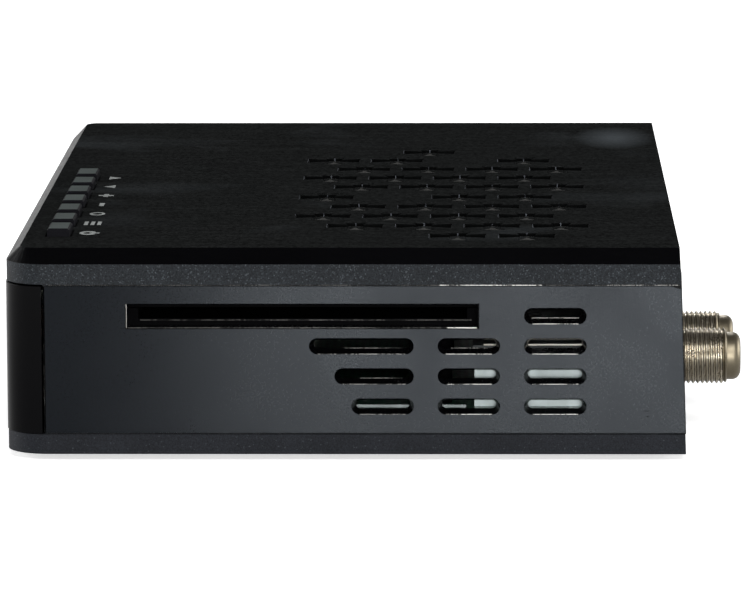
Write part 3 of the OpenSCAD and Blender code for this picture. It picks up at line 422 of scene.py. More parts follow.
def prism(form, outline, low, high, place=None):
    """Adds a prism over a flat outline, from height low to height high."""
    rings = [[form.verts.new((x, y, z)) for x, y in outline] for z in (low, high)]
    tube(form, rings)
    if place is not None:
        bmesh.ops.transform(form, matrix=place, verts=rings[0] + rings[1])


def lathe(form, profile, steps, centre):
    """Adds a turned shape round an axis along Y. Its (radius, y) points begin and end on the axis."""
    turns = [2 * math.pi * i / steps for i in range(steps)]
    rings = [
        [form.verts.new((centre.x + radius * math.cos(a), y, centre.z + radius * math.sin(a))) for a in turns]
        for radius, y in profile[1:-1]
    ]
    tube(form, rings, closed=False)
    for (_, y), ring in ((profile[0], rings[0][::-1]), (profile[-1], rings[-1])):
        tip = form.verts.new((centre.x, y, centre.z))
        for i in range(steps):
            form.faces.new((ring[i - 1], ring[i], tip))


def bead(form, path, radius, sides=6):
    """Adds a thin round bead along a path of points."""
    rings = []
    for i, point in enumerate(path):
        ahead = path[min(i + 1, len(path) - 1)] - path[max(i - 1, 0)]
        turn = ahead.to_track_quat("Z", "Y")
        around = [2 * math.pi * k / sides for k in range(sides)]
        flat = [Vector((radius * math.cos(a), radius * math.sin(a), 0)) for a in around]
        rings.append([form.verts.new(point + turn @ spoke) for spoke in flat])
    tube(form, rings)


def beads(name, runs, radius, material, sides=6):
    """Makes one piece of straight beads. Each run is two points, and all lengths are in millimetres."""
    form = bmesh.new()
    for start, end in runs:
        middle = (Vector(start) + Vector(end)) / 2
        bead(form, [Vector(start) * MM, middle * MM, Vector(end) * MM], radius * MM, sides)
    return made(name, form, material, smooth=True)


def grown(name, tree, values, material, points=()):
    """Runs a geometry tree on points, or on nothing, and returns its result as a plain mesh."""
    seed = bpy.data.meshes.new(name + "_seed")
    seed.from_pydata([tuple(point) for point in points], [], [])
    holder = bpy.data.objects.new(name, seed)
    bpy.context.scene.collection.objects.link(holder)
    modifier = holder.modifiers.new("form", "NODES")
    modifier.node_group = tree
    sockets = {item.name: item.identifier for item in tree.interface.items_tree if item.in_out == "INPUT"}
    for label, value in {**values, "Material": material}.items():
        modifier[sockets[label]] = value
    graph = bpy.context.evaluated_depsgraph_get()
    mesh = bpy.data.meshes.new_from_object(holder.evaluated_get(graph))
    holder.modifiers.remove(modifier)
    bpy.data.objects.remove(holder)
    return mesh


def start_tree(name, floats=(), integers=(), objects=()):
    """A geometry tree with a geometry, named inputs and a material."""
    tree = bpy.data.node_groups.new(name, "GeometryNodeTree")
    kinds = ("Geometry", ["Geometry"]), ("Float", floats), ("Int", integers), ("Object", objects)
    for kind, labels in (*kinds, ("Material", ["Material"])):
        for label in labels:
            tree.interface.new_socket(label, in_out="INPUT", socket_type="NodeSocket" + kind)
    tree.interface.new_socket("Geometry", in_out="OUTPUT", socket_type="NodeSocketGeometry")
    return tree, add(tree, "NodeGroupInput").outputs


def end_tree(tree, geometry, entry):
    """Ends a geometry tree in real geometry that carries its material."""
    real = add(tree, "GeometryNodeRealizeInstances", [geometry])
    dressed = add(tree, "GeometryNodeSetMaterial", {0: real, "Material": entry["Material"]})
    add(tree, "NodeGroupOutput", [dressed])
    return tree


def thread_tree():
    """A V thread: a sheet rolled round Z whose radius follows the helix, run out at both ends."""
    lengths = ("Radius", "Depth", "Pitch", "Length", "Runout")
    tree, entry = start_tree("turned_thread", lengths, ("Around", "Along"))
    square = {"Size X": 1.0, "Size Y": 1.0, "Vertices X": entry["Around"], "Vertices Y": entry["Along"]}
    sheet = add(tree, "GeometryNodeMeshGrid", square)
    at = add(tree, "SeparateXYZ", [add(tree, "GeometryNodeInputPosition")]).outputs
    share = add(tree, "Math", [at["X"], 0.5], operation="ADD")
    up = add(tree, "Math", [at["Y"], 0.5], operation="ADD")
    along = add(tree, "Math", [up, entry["Length"]], operation="MULTIPLY")
    rise = add(tree, "Math", [along, entry["Pitch"]], operation="DIVIDE")
    phase = add(tree, "Math", [rise, share], operation="SUBTRACT")
    flank = add(tree, "Math", [phase, 0.5], operation="PINGPONG")
    crest = add(tree, "MapRange", [flank, 0.05, 0.44, 0.0, 1.0])
    near_end = add(tree, "MapRange", [along, 0.0, entry["Runout"], 0.0, 1.0])
    left = add(tree, "Math", [entry["Length"], along], operation="SUBTRACT")
    far_end = add(tree, "MapRange", [left, 0.0, entry["Runout"], 0.0, 1.0])
    runout = add(tree, "Math", [near_end, far_end], operation="MULTIPLY")
    tall = add(tree, "Math", [crest, runout], operation="MULTIPLY")
    root = add(tree, "Math", [entry["Radius"], entry["Depth"]], operation="SUBTRACT")
    radius = add(tree, "Math", [tall, entry["Depth"], root], operation="MULTIPLY_ADD")
    angle = add(tree, "Math", [share, 2 * math.pi], operation="MULTIPLY")
    cosine = add(tree, "Math", [angle], operation="COSINE")
    sine = add(tree, "Math", [angle], operation="SINE")
    x = add(tree, "Math", [radius, cosine], operation="MULTIPLY")
    y = add(tree, "Math", [radius, sine], operation="MULTIPLY")
    point = add(tree, "CombineXYZ", [x, y, along])
    rolled = add(tree, "GeometryNodeSetPosition", {0: sheet, "Position": point})
    return end_tree(tree, rolled, entry)


def row_tree():
    """A row of small bars along X: the contacts of a socket."""
    tree, entry = start_tree("row_of_bars", ("Pitch", "Long", "Wide", "High"), ("Count",))
    size = add(tree, "CombineXYZ", [entry["Wide"], entry["Long"], entry["High"]])
    contact = add(tree, "GeometryNodeMeshCube", {"Size": size})
    last = add(tree, "Math", [entry["Count"], 1.0], operation="SUBTRACT")
    whole = add(tree, "Math", [last, entry["Pitch"]], operation="MULTIPLY")
    half = add(tree, "Math", [whole, -0.5], operation="MULTIPLY")
    start = add(tree, "CombineXYZ", [half])
    step = add(tree, "CombineXYZ", [entry["Pitch"]])
    places = {"Count": entry["Count"], "Start Location": start, "Offset": step}
    line = add(tree, "GeometryNodeMeshLine", places)
    row = add(tree, "GeometryNodeInstanceOnPoints", {"Points": line, "Instance": contact})
    return end_tree(tree, row, entry)


def copies_tree():
    """Copies of one small shape, one on each point."""
    tree, entry = start_tree("copies_on_points", objects=("Shape",))
    shape = add(tree, "GeometryNodeObjectInfo", {"Object": entry["Shape"]}).outputs["Geometry"]
    copies = add(tree, "GeometryNodeInstanceOnPoints", {"Points": entry["Geometry"], "Instance": shape})
    return end_tree(tree, copies, entry)


def copied(name, tree, form, places, material):
    """Copies a small shape onto places by a geometry tree."""
    shape = bpy.data.objects.new(name + "_shape", mesh_of(name + "_shape", form))
    bpy.context.scene.collection.objects.link(shape)
    mesh = grown(name, tree, {"Shape": shape}, material, places)
    bpy.data.objects.remove(shape)
    return own_mesh(name, mesh, material)


def wear(node, *materials):
    """Gives a CAD node its materials and returns its mesh."""
    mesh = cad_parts[node].data
    mesh.materials.clear()
    for material in materials:
        mesh.materials.append(material)
    return mesh


def dress(nodes, material):
    """Gives each of several CAD nodes one material."""
    for node in nodes.split():
        wear(node, material)


# ---- studio ----


def seen_in_mirrors(tree, rays):
    """1 for what is seen in a reflection or through clear plastic, else 0."""
    return add(tree, "Math", [rays["Is Glossy Ray"], rays["Is Transmission Ray"]], operation="MAXIMUM")


def make_floor(scene, studio):
    """Matte pale floor. Seen directly or in a reflection it glows up to white, and its shadow stays."""
    form = bmesh.new()
    bmesh.ops.create_grid(form, x_segments=2, y_segments=2, size=6.0)
    mesh = bpy.data.meshes.new("studio_floor")
    form.to_mesh(mesh)
    form.free()
    floor = bpy.data.objects.new("studio_floor", mesh)
    floor.location.z = -0.05 * MM
    scene.collection.objects.link(floor)
    material, tree, where = start_material("floor_paper")
    rays = add(tree, "LightPath").outputs
    mirrored = seen_in_mirrors(tree, rays)
    away = add(tree, "VectorMath", [where], operation="LENGTH")
    fade = add(tree, "MapRange", [away, 0.16, 0.5, 0.0, mirrored])
    seen = add(tree, "Math", [rays["Is Camera Ray"], fade], operation="MAXIMUM")
    glow = add(tree, "Math", [seen, studio.glow], operation="MULTIPLY")
    fibre = add(tree, "TexNoise", {"Vector": where, "Scale": 1 / 0.4})
    paper = scene.receiver_colours.floor
    tone = add(tree, "Mix", {0: fibre, 6: tint(paper, 0.99), 7: paper}, data_type="RGBA")
    matte = add(tree, "BsdfDiffuse", {"Color": tone})
    light = add(tree, "Emission", {"Strength": glow})
    both = add(tree, "AddShader", [matte, light])
    add(tree, "OutputMaterial", {"Surface": both})
    mesh.materials.append(material)


def make_walls(scene, studio):
    """A world of walls that pass into a darker ceiling. The camera and mirrors see white walls."""
    world = bpy.data.worlds.new("studio_world")
    world.use_nodes = True
    scene.world = world
    tree = world.node_tree
    tree.nodes.clear()
    rays = add(tree, "LightPath").outputs
    ahead = add(tree, "TexCoord").outputs["Generated"]
    height = add(tree, "SeparateXYZ", [ahead]).outputs["Z"]
    mirrored = seen_in_mirrors(tree, rays)
    wall = add(tree, "Mix", {0: mirrored, 2: studio.wall, 3: 1.0})
    room = add(tree, "MapRange", [height, 0.04, 0.35, wall, studio.ceiling], interpolation_type="SMOOTHSTEP")
    level = add(tree, "Mix", {0: rays["Is Camera Ray"], 2: room, 3: 1.0})
    back = add(tree, "Background", {"Strength": level})
    add(tree, "OutputWorld", {"Surface": back})


def make_lamps(scene, studio):
    """Soft lamps round the object, aimed at its middle."""
    aim = Vector((0.0, 0.0, 0.016))
    for name, place, wide, high, power in (
        ("key", (1.69, 0.15, 0.223), 0.65, 0.36, studio.key_power),
        ("fill", (1.08, 0.35, 0.95), 0.8, 0.6, studio.fill_power),
        ("front", (-0.3, -1.4, 0.36), 1.0, 0.5, studio.room_power),
        ("rear", (-0.35, 1.4, 0.36), 1.0, 0.5, 0.75 * studio.room_power),
        ("left", (-1.75, -0.2, 0.94), 1.0, 0.6, studio.room_power),
    ):
        data = bpy.data.lights.new("lamp_" + name, "AREA")
        data.shape = "RECTANGLE"
        data.size, data.size_y, data.energy = wide, high, power
        lamp = bpy.data.objects.new("lamp_" + name, data)
        lamp.location = place
        lamp.rotation_mode = "QUATERNION"
        lamp.rotation_quaternion = (aim - Vector(place)).to_track_quat("-Z", "Y")
        lamp.visible_camera = False
        scene.collection.objects.link(lamp)


def make_camera(scene):
    """The photograph's camera, fitted to the edges of the case."""
    place, target = Vector((1.006730, 0.018924, 0.174112)), Vector((0.0, -0.001648, 0.013517))
    roll = -0.184
    data = bpy.data.cameras.new("camera")
    data.sensor_width = 36.0
    data.lens = 271.456
    data.clip_start, data.clip_end = 0.05, 30.0
    camera = bpy.data.objects.new("camera", data)
    scene.collection.objects.link(camera)
    back = (place - target).normalized()
    side = Vector((0, 0, 1)).cross(back).normalized()
    level = Matrix((side, back.cross(side), back)).transposed()
    turn = level @ Matrix.Rotation(math.radians(roll), 3, "Z")
    camera.matrix_world = Matrix.Translation(place) @ turn.to_4x4()
    scene.camera = camera


class RECEIVER_OT_studio(bpy.types.Operator):
    """Makes the floor, the lamps, the world and the camera of the photograph"""

    bl_idname = "receiver.studio"
    bl_label = "Studio"

    def execute(self, context):
        scene = context.scene
        scene.view_settings.view_transform = "Standard"
        make_floor(scene, scene.receiver_studio)
        make_walls(scene, scene.receiver_studio)
        make_lamps(scene, scene.receiver_studio)
        make_camera(scene)
        return {"FINISHED"}


# ---- case and keys ----


def dress_cover(band, slope, top):
    """Coarse band, polished sloped edge and fine matte top of the cover."""
    slope_wide, top_thick = 2.5 * MM, 2.1 * MM
    low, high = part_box("top_cover")
    for face in wear("top_cover", band, slope, top).polygons:
        centre, tilt = face.center, face.normal.z
        outside = abs(centre.x) > high.x - slope_wide or centre.y < low.y + slope_wide
        if outside and 0.3 < tilt < 0.97:
            face.material_index = 1
        elif centre.z > high.z - top_thick and not (outside and tilt < 0.3):
            face.material_index = 2


def dress_sides(panel, lips):
    """Satin side panels, with gloss on the walls of their openings and in the grooves along their seams."""
    foot, head, front = 5 * MM, 28.9 * MM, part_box("top_cover")[0].y + 1 * MM
    groove_in, groove_out = 83.6 * MM, 83.95 * MM
    for node in ("side_panel_right", "side_panel_left"):
        for face in wear(node, panel, lips).polygons:
            centre, facing_out = face.center, abs(face.normal.x)
            wall = facing_out < 0.9 and centre.y > front and foot < centre.z < head
            groove = facing_out > 0.9 and groove_in < abs(centre.x) < groove_out
            face.material_index = 1 if wall or groove else 0


class RECEIVER_OT_case(bpy.types.Operator):
    """Finishes the case: cover, base, side panels, fascia, rear panel, window and feet"""

    bl_idname = "receiver.case"
    bl_label = "Case finishes"

    def execute(self, context):
        sizes, tones = context.scene.receiver_sizes, context.scene.receiver_colours
        grain, edge = sizes.grain, sizes.edge
        # The speck colour is painted as glints in the spark eroded plastics, and is the dust of the top's
        # smudge
        dust_and_glint_tone, eroded = tones.glint_speck_and_dust, "abs_spark_eroded"
        coarse = {"share": 0.22, "glint": 0.36, "spread": 0.9, "level": 0.1}
        plain = {"share": 0.12, "glint": 0.24, "spread": 0.6, "level": 0.08}
        band = spark_eroded_abs(eroded, tones.textured, dust_and_glint_tone, grain, edge, **coarse)
        base = spark_eroded_abs(eroded + "_base", tones.base, dust_and_glint_tone, grain, edge, **plain)
        top = wiped_matte_abs("abs_fine_matte", tones.top, dust_and_glint_tone, edge)
        slope = polished_abs("abs_polished_slope", tones.gloss, 0.03, edge, 0.3)
        dress_cover(band, slope, top)
        dress("base_tray rear_panel", base)
        # The fascia's middle is painted paler than its corners as painted light
        wear("front_fascia", polished_abs("abs_piano_black", tones.gloss, 0.06, edge, painted_light_middle=linear("#151617")))

        # The panel is bowed over its front 50 mm, and its openings have nearly sharp edges.
        front, bowed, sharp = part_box("side_panel_right")[0].y, 50 * MM, 0.02 * MM
        panel = satin_abs("abs_satin", tones.satin, 0.33, 0.178, edge, front, front + bowed, sizes.bow, 0.075)
        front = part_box("top_cover")[0].y
        lips = satin_abs("abs_satin_openings", tones.gloss, 0.25, 0.15, sharp, front, front + 1 * MM, 0.0)
        dress_sides(panel, lips)
        wear("display_window", clear_plastic("acrylic_smoked", tones.smoke, 0.03, 0.95, 0.12))
        wear("rubber_feet", moulded_plastic("rubber_moulded", linear("#1a1a1a"), 0.8, 0.25 * MM))
        return {"FINISHED"}


def arc(radius_in, radius_out, start, end, steps):
    """Outline of a piece of a ring, angles in degrees."""
    angles = [math.radians(start + (end - start) * i / steps) for i in range(steps + 1)]
    outer = [(radius_out * math.cos(a), radius_out * math.sin(a)) for a in angles]
    inner = [(radius_in * math.cos(a), radius_in * math.sin(a)) for a in reversed(angles)]
    return outer + inner


def bar(x0, y0, x1, y1):
    """Outline of a rectangle."""
    return [(x0, y0), (x1, y0), (x1, y1), (x0, y1)]


def sign(name, half):
    """Outlines of the plain sign for a key, about 2 * half across."""
    line, wide, reach = half * 0.22, half * 0.286, half * 0.9
    if name == "power":
        ring = [arc(half - 2 * line, half, 125 + 72.5 * i, 125 + 72.5 * (i + 1), 9) for i in range(4)]
        return [*ring, bar(-line, 0.15 * half, line, 1.25 * half)]
    if name == "menu":
        return [bar(-half, y * half - line, half, y * half + line) for y in (-0.75, 0.0, 0.75)]
    if name == "ok":
        return [arc(half * 0.55, reach, 45 * i, 45 * (i + 1), 5) for i in range(8)]
    if name == "volume_down":
        return [bar(-reach, -wide, reach, wide)]
    if name == "volume_up":
        upright = [bar(-wide, wide, wide, reach), bar(-wide, -reach, wide, -wide)]
        return [bar(-reach, -wide, reach, wide), *upright]
    if name == "channel_down":
        return [[(-reach, half * 0.6), (0.0, -half * 0.8), (reach, half * 0.6)]]
    return [[(-reach, -half * 0.6), (reach, -half * 0.6), (0.0, half * 0.8)]]


class RECEIVER_OT_keys(bpy.types.Operator):
    """Finishes the keys and prints a plain sign behind each"""

    bl_idname = "receiver.keys"
    bl_label = "Keys and marks"

    def execute(self, context):
        sizes, tones = context.scene.receiver_sizes, context.scene.receiver_colours
        cap = moulded_plastic("abs_key_matte", tones.key, 0.8, 0.3 * MM, 0.15, 0.0)
        sides = moulded_plastic("abs_key_side", tones.key_side_painted_shade, 0.6, 0.3 * MM, 0.12, 0.012)
        nylon = moulded_plastic("nylon_cream", linear("#d8d2c0"), 0.5)
        ink = moulded_plastic("ink_screen_printed", tones.ink, 0.8, 0.2 * MM, 0.25, 0.0)
        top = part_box("top_cover")[1].z
        sunk = 0.01 * MM
        wider = Matrix.Diagonal((1.3, 1, 1, 1))
        for name in KEYS:
            wear("plunger_" + name, nylon)
            # Key tops take the cap colour, and the sides the darker side colour as painted shade
            for face in wear("key_" + name, cap, sides).polygons:
                face.material_index = 0 if face.normal.z > 0.9 else 1
            low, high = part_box("key_" + name)
            centre = (low + high) / 2
            place = Matrix.Translation((centre.x, centre.y + sizes.mark_gap, 0)) @ wider
            form = bmesh.new()
            for outline in sign(name, sizes.mark_size / 2):
                prism(form, outline, top - sunk, top + sizes.mark_thick, place)
            made("mark_" + name, form, ink)
        return {"FINISHED"}


# ---- connectors ----


def sharpen(piece, degrees):
    """Smooth shading with edges sharper than an angle left sharp."""
    mesh = piece.data
    for face in mesh.polygons:
        face.use_smooth = True
    form = bmesh.new()
    form.from_mesh(mesh)
    limit = math.radians(degrees)
    for edge in form.edges:
        edge.smooth = len(edge.link_faces) == 2 and edge.calc_face_angle(0) < limit
    form.to_mesh(mesh)
    form.free()


def cut_thread(node, sizes, centre, start, end, finishes):
    """Makes the thread from start to end along Y, and returns the radius of its root.

    Part of the flanks near the root is painted darker as shade, and the last turn is finished as the nose."""
    outside, last_turn = 4.7625 * MM, 0.7 * MM
    values = {
        "Radius": outside,
        "Depth": sizes.thread_depth,
        "Pitch": sizes.thread_pitch,
        "Length": end - start,
        "Runout": sizes.thread_pitch * 0.4,
        "Around": 97,
        "Along": 132,
    }
    form = bmesh.new()
    form.from_mesh(grown(node, thread_tree(), values, finishes[0]))
    bmesh.ops.remove_doubles(form, verts=form.verts, dist=1e-7)
    bmesh.ops.holes_fill(form, edges=[edge for edge in form.edges if edge.is_boundary])
    place = Matrix.Translation((centre.x, start, centre.z)) @ Matrix.Rotation(-math.pi / 2, 4, "X")
    bmesh.ops.transform(form, verts=form.verts, matrix=place)
    thread = made(node.replace("connector", "thread"), form, finishes[0])
    for finish in finishes[1:]:
        thread.data.materials.append(finish)
    for face in thread.data.polygons:
        away = math.hypot(face.center.x - centre.x, face.center.z - centre.z)
        sunk = (outside - away) / sizes.thread_depth
        # Faces part way down the flanks take the painted shade, and the last turn the nose's finish
        face.material_index = 2 if face.center.y > end - last_turn else int(0.45 < sunk < 0.82)
    sharpen(thread, 30)
    return outside - sizes.thread_depth


def turned_shell(node, sizes, centre, back, shoulder, nose, front, root, nickel, painted_groove_shade):
    """The flange, the core under the thread, the rounded nose and the bore."""
    neck_r, flange_r, nose_r, bore_r = 3.2 * MM, 5.6 * MM, 4.03 * MM, 2.7 * MM
    neck_long, bore_deep, bevel, lip = 0.9 * MM, 8 * MM, 0.2 * MM, 0.25 * MM
    core_r = root - 0.05 * MM
    rounding = sizes.nose_round
    outer = [math.radians(15 * i) for i in range(7)]
    inner = [math.radians(22.5 * i) for i in range(5)]
    profile = [
        (0.0, back),
        (neck_r - bevel / 2, back),
        (neck_r, back + bevel / 2),
        (neck_r, back + neck_long),
        (flange_r - bevel, back + neck_long),
        (flange_r, back + neck_long + bevel),
        (flange_r, shoulder - bevel),
        (flange_r - bevel, shoulder),
        (core_r, shoulder),
        (core_r, nose - bevel / 10),
        (nose_r, nose),
        *((nose_r - rounding * (1 - math.cos(a)), front - rounding * (1 - math.sin(a))) for a in outer),
        *((bore_r + lip * (1 - math.sin(a)), front - lip * (1 - math.cos(a))) for a in inner),
        (bore_r, front - bore_deep),
        (0.0, front - bore_deep),
    ]
    form = bmesh.new()
    lathe(form, profile, 72, centre)
    shell = made(node.replace("connector", "shell"), form, nickel)
    shell.data.materials.append(painted_groove_shade)
    for face in shell.data.polygons:
        # The core under the thread and the ring behind the nose take the painted shade
        face.material_index = 1 if shoulder < face.center.y < nose + bevel else 0
    sharpen(shell, 40)
    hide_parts(node)


class RECEIVER_OT_connectors(bpy.types.Operator):
    """Builds the two threaded F connectors and finishes their cores"""

    bl_idname = "receiver.connectors"
    bl_label = "Aerial sockets"

    def execute(self, context):
        sizes, tones = context.scene.receiver_sizes, context.scene.receiver_colours
        brass, plain = "brass_nickel_", tones.thread
        nickel = plated_metal(brass + "turned", tones.nickel, 0.45, tint(tones.nickel, 0.8))
        cut = plated_metal(brass + "cut_thread", plain, 0.29, tint(plain, 0.7))
        # A darker copy of the thread's metal, painted as shade in the thread's grooves and behind the nose
        painted_groove_shade = plated_metal(brass + "thread_root_painted_shade", tint(plain, 0.24), 0.4, tint(plain, 0.15))
        flange_long = 3.4 * MM
        for node in ("lnb_in_connector", "loop_out_connector"):
            low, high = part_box(node)
            centre = (low + high) / 2
            shoulder, nose = low.y + flange_long, high.y - sizes.nose_long
            root = cut_thread(node, sizes, centre, shoulder, nose, (cut, painted_groove_shade, nickel))
            turned_shell(node, sizes, centre, low.y, shoulder, nose, high.y, root, nickel, painted_groove_shade)
        wear("connector_insulators", moulded_plastic("ptfe_turned", linear("#e9e6dc"), 0.45))
        gold = plated_metal("contact_gold_plated", linear("#d0a64c"), 0.25, linear("#b58a35"))
        wear("connector_contacts", gold)
        return {"FINISHED"}


# ---- inside ----


def dress_boards():
    """Green boards with sawn edges."""
    board = masked_board("epoxy_board_green_mask", bpy.context.scene.receiver_colours.mask)
    edge = sawn_laminate("laminate_sawn", linear("#b9bcae"))
    for node in ("main_board", "front_board", "key_board"):
        low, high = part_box(node)
        thin = min(range(3), key=lambda axis: high[axis] - low[axis])
        for face in wear(node, board, edge).polygons:
            face.material_index = 1 if abs(face.normal[thin]) < 0.1 else 0


def dress_card_reader(tin):
    """The reader's frame is black nylon, and the front edge of its tin cover takes the same black as painted
    shade.
    """
    matte = moulded_plastic("nylon_black_and_painted_shade", linear("#050506"), 0.7, level=0.02)
    wear("card_reader_frame", matte)
    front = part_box("card_reader_cover")[1].x - 0.1 * MM
    for face in wear("card_reader_cover", tin, matte).polygons:
        face.material_index = 1 if face.normal.x > 0.9 and face.center.x > front else 0


def socket_contacts(gold):
    """Rows of contacts on the tongues of the sockets."""
    tree = row_tree()
    long, thick, set_back = 7.0 * MM, 0.12 * MM, 2.2 * MM
    for name, node, count, pitch, wide, height in (
        ("hdmi_contacts", "hdmi_socket", 10, 1.0, 0.45, 2.36),
        ("usb_contacts", "usb_socket", 4, 2.5, 1.0, 3.36),
    ):
        low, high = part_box(node)
        values = {"Pitch": pitch * MM, "Long": long, "Wide": wide * MM, "High": thick, "Count": count}
        mesh = grown(name, tree, values, gold)
        place = ((low.x + high.x) / 2, high.y - set_back - long / 2, low.z + height * MM)
        mesh.transform(Matrix.Translation(place))
        own_mesh(name, mesh, gold)


def display_segments():
    """Segments of the four digits behind the window."""
    low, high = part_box("display_module")
    middle = (low + high) / 2
    pitch = (high.x - low.x) / 4
    long, thick, proud, depth = 1.55 * MM, 0.32 * MM, 0.31 * MM, 0.2 * MM
    half = [(-long, 0), (-long + thick, -thick), (long - thick, -thick)]
    outline = half + [(-x, -y) for x, y in half]
    lying = [(0, z, 0) for z in (3.6, 0, -3.6)]
    upright = [(x, z, math.pi / 2) for z in (1.8, -1.8) for x in (-2, 2)]
    form = bmesh.new()
    for digit in (-1.5, -0.5, 0.5, 1.5):
        for x, z, turn in lying + upright:
            place = (middle.x + digit * pitch + x * MM, low.y + proud, middle.z + z * MM)
            turned = Matrix.Rotation(math.pi / 2, 4, "X") @ Matrix.Rotation(turn, 4, "Z")
            prism(form, outline, 0.0, depth, Matrix.Translation(place) @ turned)
    made("display_segments", form, moulded_plastic("segment_epoxy", linear("#ece4de"), 0.5))


class RECEIVER_OT_inside(bpy.types.Operator):
    """Finishes the boards, cans, chips, sockets and everything else inside"""

    bl_idname = "receiver.inside"
    bl_label = "Inner parts"

    def execute(self, context):
        tones = context.scene.receiver_colours
        tin = plated_metal("steel_tin_plated", tones.tin, 0.45, tint(tones.tin, 0.85))
        gold = plated_metal("spring_gold_plated", linear("#d0a64c"), 0.28, linear("#b58a35"))
        wear("tuner_shield", tin)
        wear("card_contacts", gold)
        for name, code, roughness, grain, nodes in (
            ("nylon_black", "#0b0c0d", 0.5, 0.4, "display_module ir_receiver av_jack dc_jack socket_tongues"),
            ("epoxy_moulded", "#18191a", 0.6, 0.4, "processor memory_chips regulators"),
            ("nylon_header", "#dcd6c4", 0.5, 0.4, "board_headers"),
            ("ferrite_ground", "#37373a", 0.55, 0.2, "inductors"),
            ("sleeve_shrunk_blue_black", "#1a2230", 0.3, 1.5, "capacitors"),
        ):
            dress(nodes, moulded_plastic(name, linear(code), roughness, grain * MM))
        shells = "hdmi_socket usb_socket dc_jack_pin crystal board_screws"
        for name, code, roughness, stain, nodes in (
            ("steel_stamped", "#b4b6b8", 0.35, "#9c9ea0", "key_switches"),
            ("steel_nickel_plated", "#c2c2bd", 0.3, "#a8a8a2", shells),
            ("screw_zinc_black", "#303134", 0.45, "#1d1e20", "case_screws"),
            # A darker copy of the can's tin, painted on the tuner's lid as shade
            ("steel_tin_painted_shade", "#4a4d4d", 0.6, "#3a3c3c", "tuner_lid"),
        ):
            dress(nodes, plated_metal(name, linear(code), roughness, linear(stain)))
        dark, drawn = linear("#212225"), (1.0, 0.05, 1.0)
        wear("heat_sink", plated_metal("aluminium_black_anodised", linear("#2a2b2e"), 0.5, dark, drawn))
        film = striped_film("film_laminated", linear("#d9d6cc"), linear("#a9a9a6"), 1.0 * MM)
        dress("front_ribbon key_ribbon", film)
        wear("status_leds", clear_plastic("polycarbonate_red", linear("#a0211a"), 0.1, 0.6))
        dress_boards()
        dress_card_reader(tin)
        socket_contacts(gold)
        display_segments()
        return {"FINISHED"}


# ---- edges, trim and vents ----


def along(x, spans):
    """Runs along Y at a place x, from spans of (start, end, height)."""
    return [((x, start, z), (x, end, z)) for start, end, z in spans]


class RECEIVER_OT_edges(bpy.types.Operator):
    """Adds painted glints along the edges of the cover, the card slot and the side vents"""

    bl_idname = "receiver.edges"
    bl_label = "Rubbed edges"

    def execute(self, context):
        tones = context.scene.receiver_colours
        # Pale dotted lines painted along the edges as glints, in three strengths
        faint = painted_glint_abs("abs_painted_glint_faint", tones.gloss, tint(tones.rub_and_glint, 0.4), 0.65)
        bright = painted_glint_abs("abs_painted_glint_bright", tones.gloss, tones.rub_and_glint, 0.8)
        dark = painted_glint_abs("abs_painted_glint_dark", tones.gloss, tint(tones.rub_and_glint, 0.1), 0.6)

        # Lengths are in millimetres. Each vent's row is the height of its lower edge.
        low, high = (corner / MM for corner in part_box("side_panel_right"))
        thin = 0.09
        face = high.x - thin
        seam, slot, slot_front, slot_rear = 29.39, 22.245, -41.12, 17.08
        rows = [7.69 + 5.06 * row for row in range(4)]
        half, rear, middle, front = 3.8, 29.875, 15.575, 1.275
        vents = [(rear, z) for z in rows] + [(middle, z) for z in rows[:3]]
        stepped = zip(rows, (0, 2.8, 7.0))
        for name, material, spans in (
            ("edge_cover_faint", dark, [(-54.0, 10.8, seam), (27.7, 36.0, seam)]),
            ("edge_cover_dotted", faint, [(36.0, 50.4, seam)]),
            ("edge_cover_bright", bright, [(10.8, 27.7, seam)]),
            ("edge_slot_faint", dark, [(slot_front + 0.3, 12.0, slot)]),
            ("edge_slot_bright", bright, [(12.0, slot_rear - 0.2, slot)]),
            ("edge_vents_bright", bright, [(y - half, y + half, z) for y, z in vents]),
            ("edge_vents_faint", faint, [(front - half - more, front + half, z) for z, more in stepped]),
        ):
            beads(name, along(face, spans), thin, material)
        slot_end = (face, slot_front)
        beads("edge_slot_end", [((*slot_end, 22.2), (*slot_end, 26.2))], 0.8 * thin, faint)
        corner = (high.x - 0.3, low.y + 0.1)
        beads("edge_panel_front", [((*corner, 4.7), (*corner, 19.5))], thin, dark)
        beads("edge_card_channel", along(80.75, [(-39.0, 16.0, 23.04)]), 0.12, dark)

        # Painted glints on the inner edges of some vents, where the wall ends 2.4 mm further in
        inside = 81.63
        second, third, fourth = (z + 0.66 for z in rows[1:])
        beads("vent_inner_bright", along(inside, [(26.0, 33.8, fourth)]), 0.06, bright)
        spans = [(-5.0, 4.6, third), (12.6, 18.6, third), (-2.4, 4.6, second)]
        beads("vent_inner_faint", along(inside, spans), 0.06, faint)
        return {"FINISHED"}


def loft(form, *outlines):
    """Adds a closed shape over outlines of points in millimetres."""
    tube(form, [[form.verts.new(Vector(point) * MM) for point in outline] for outline in outlines])


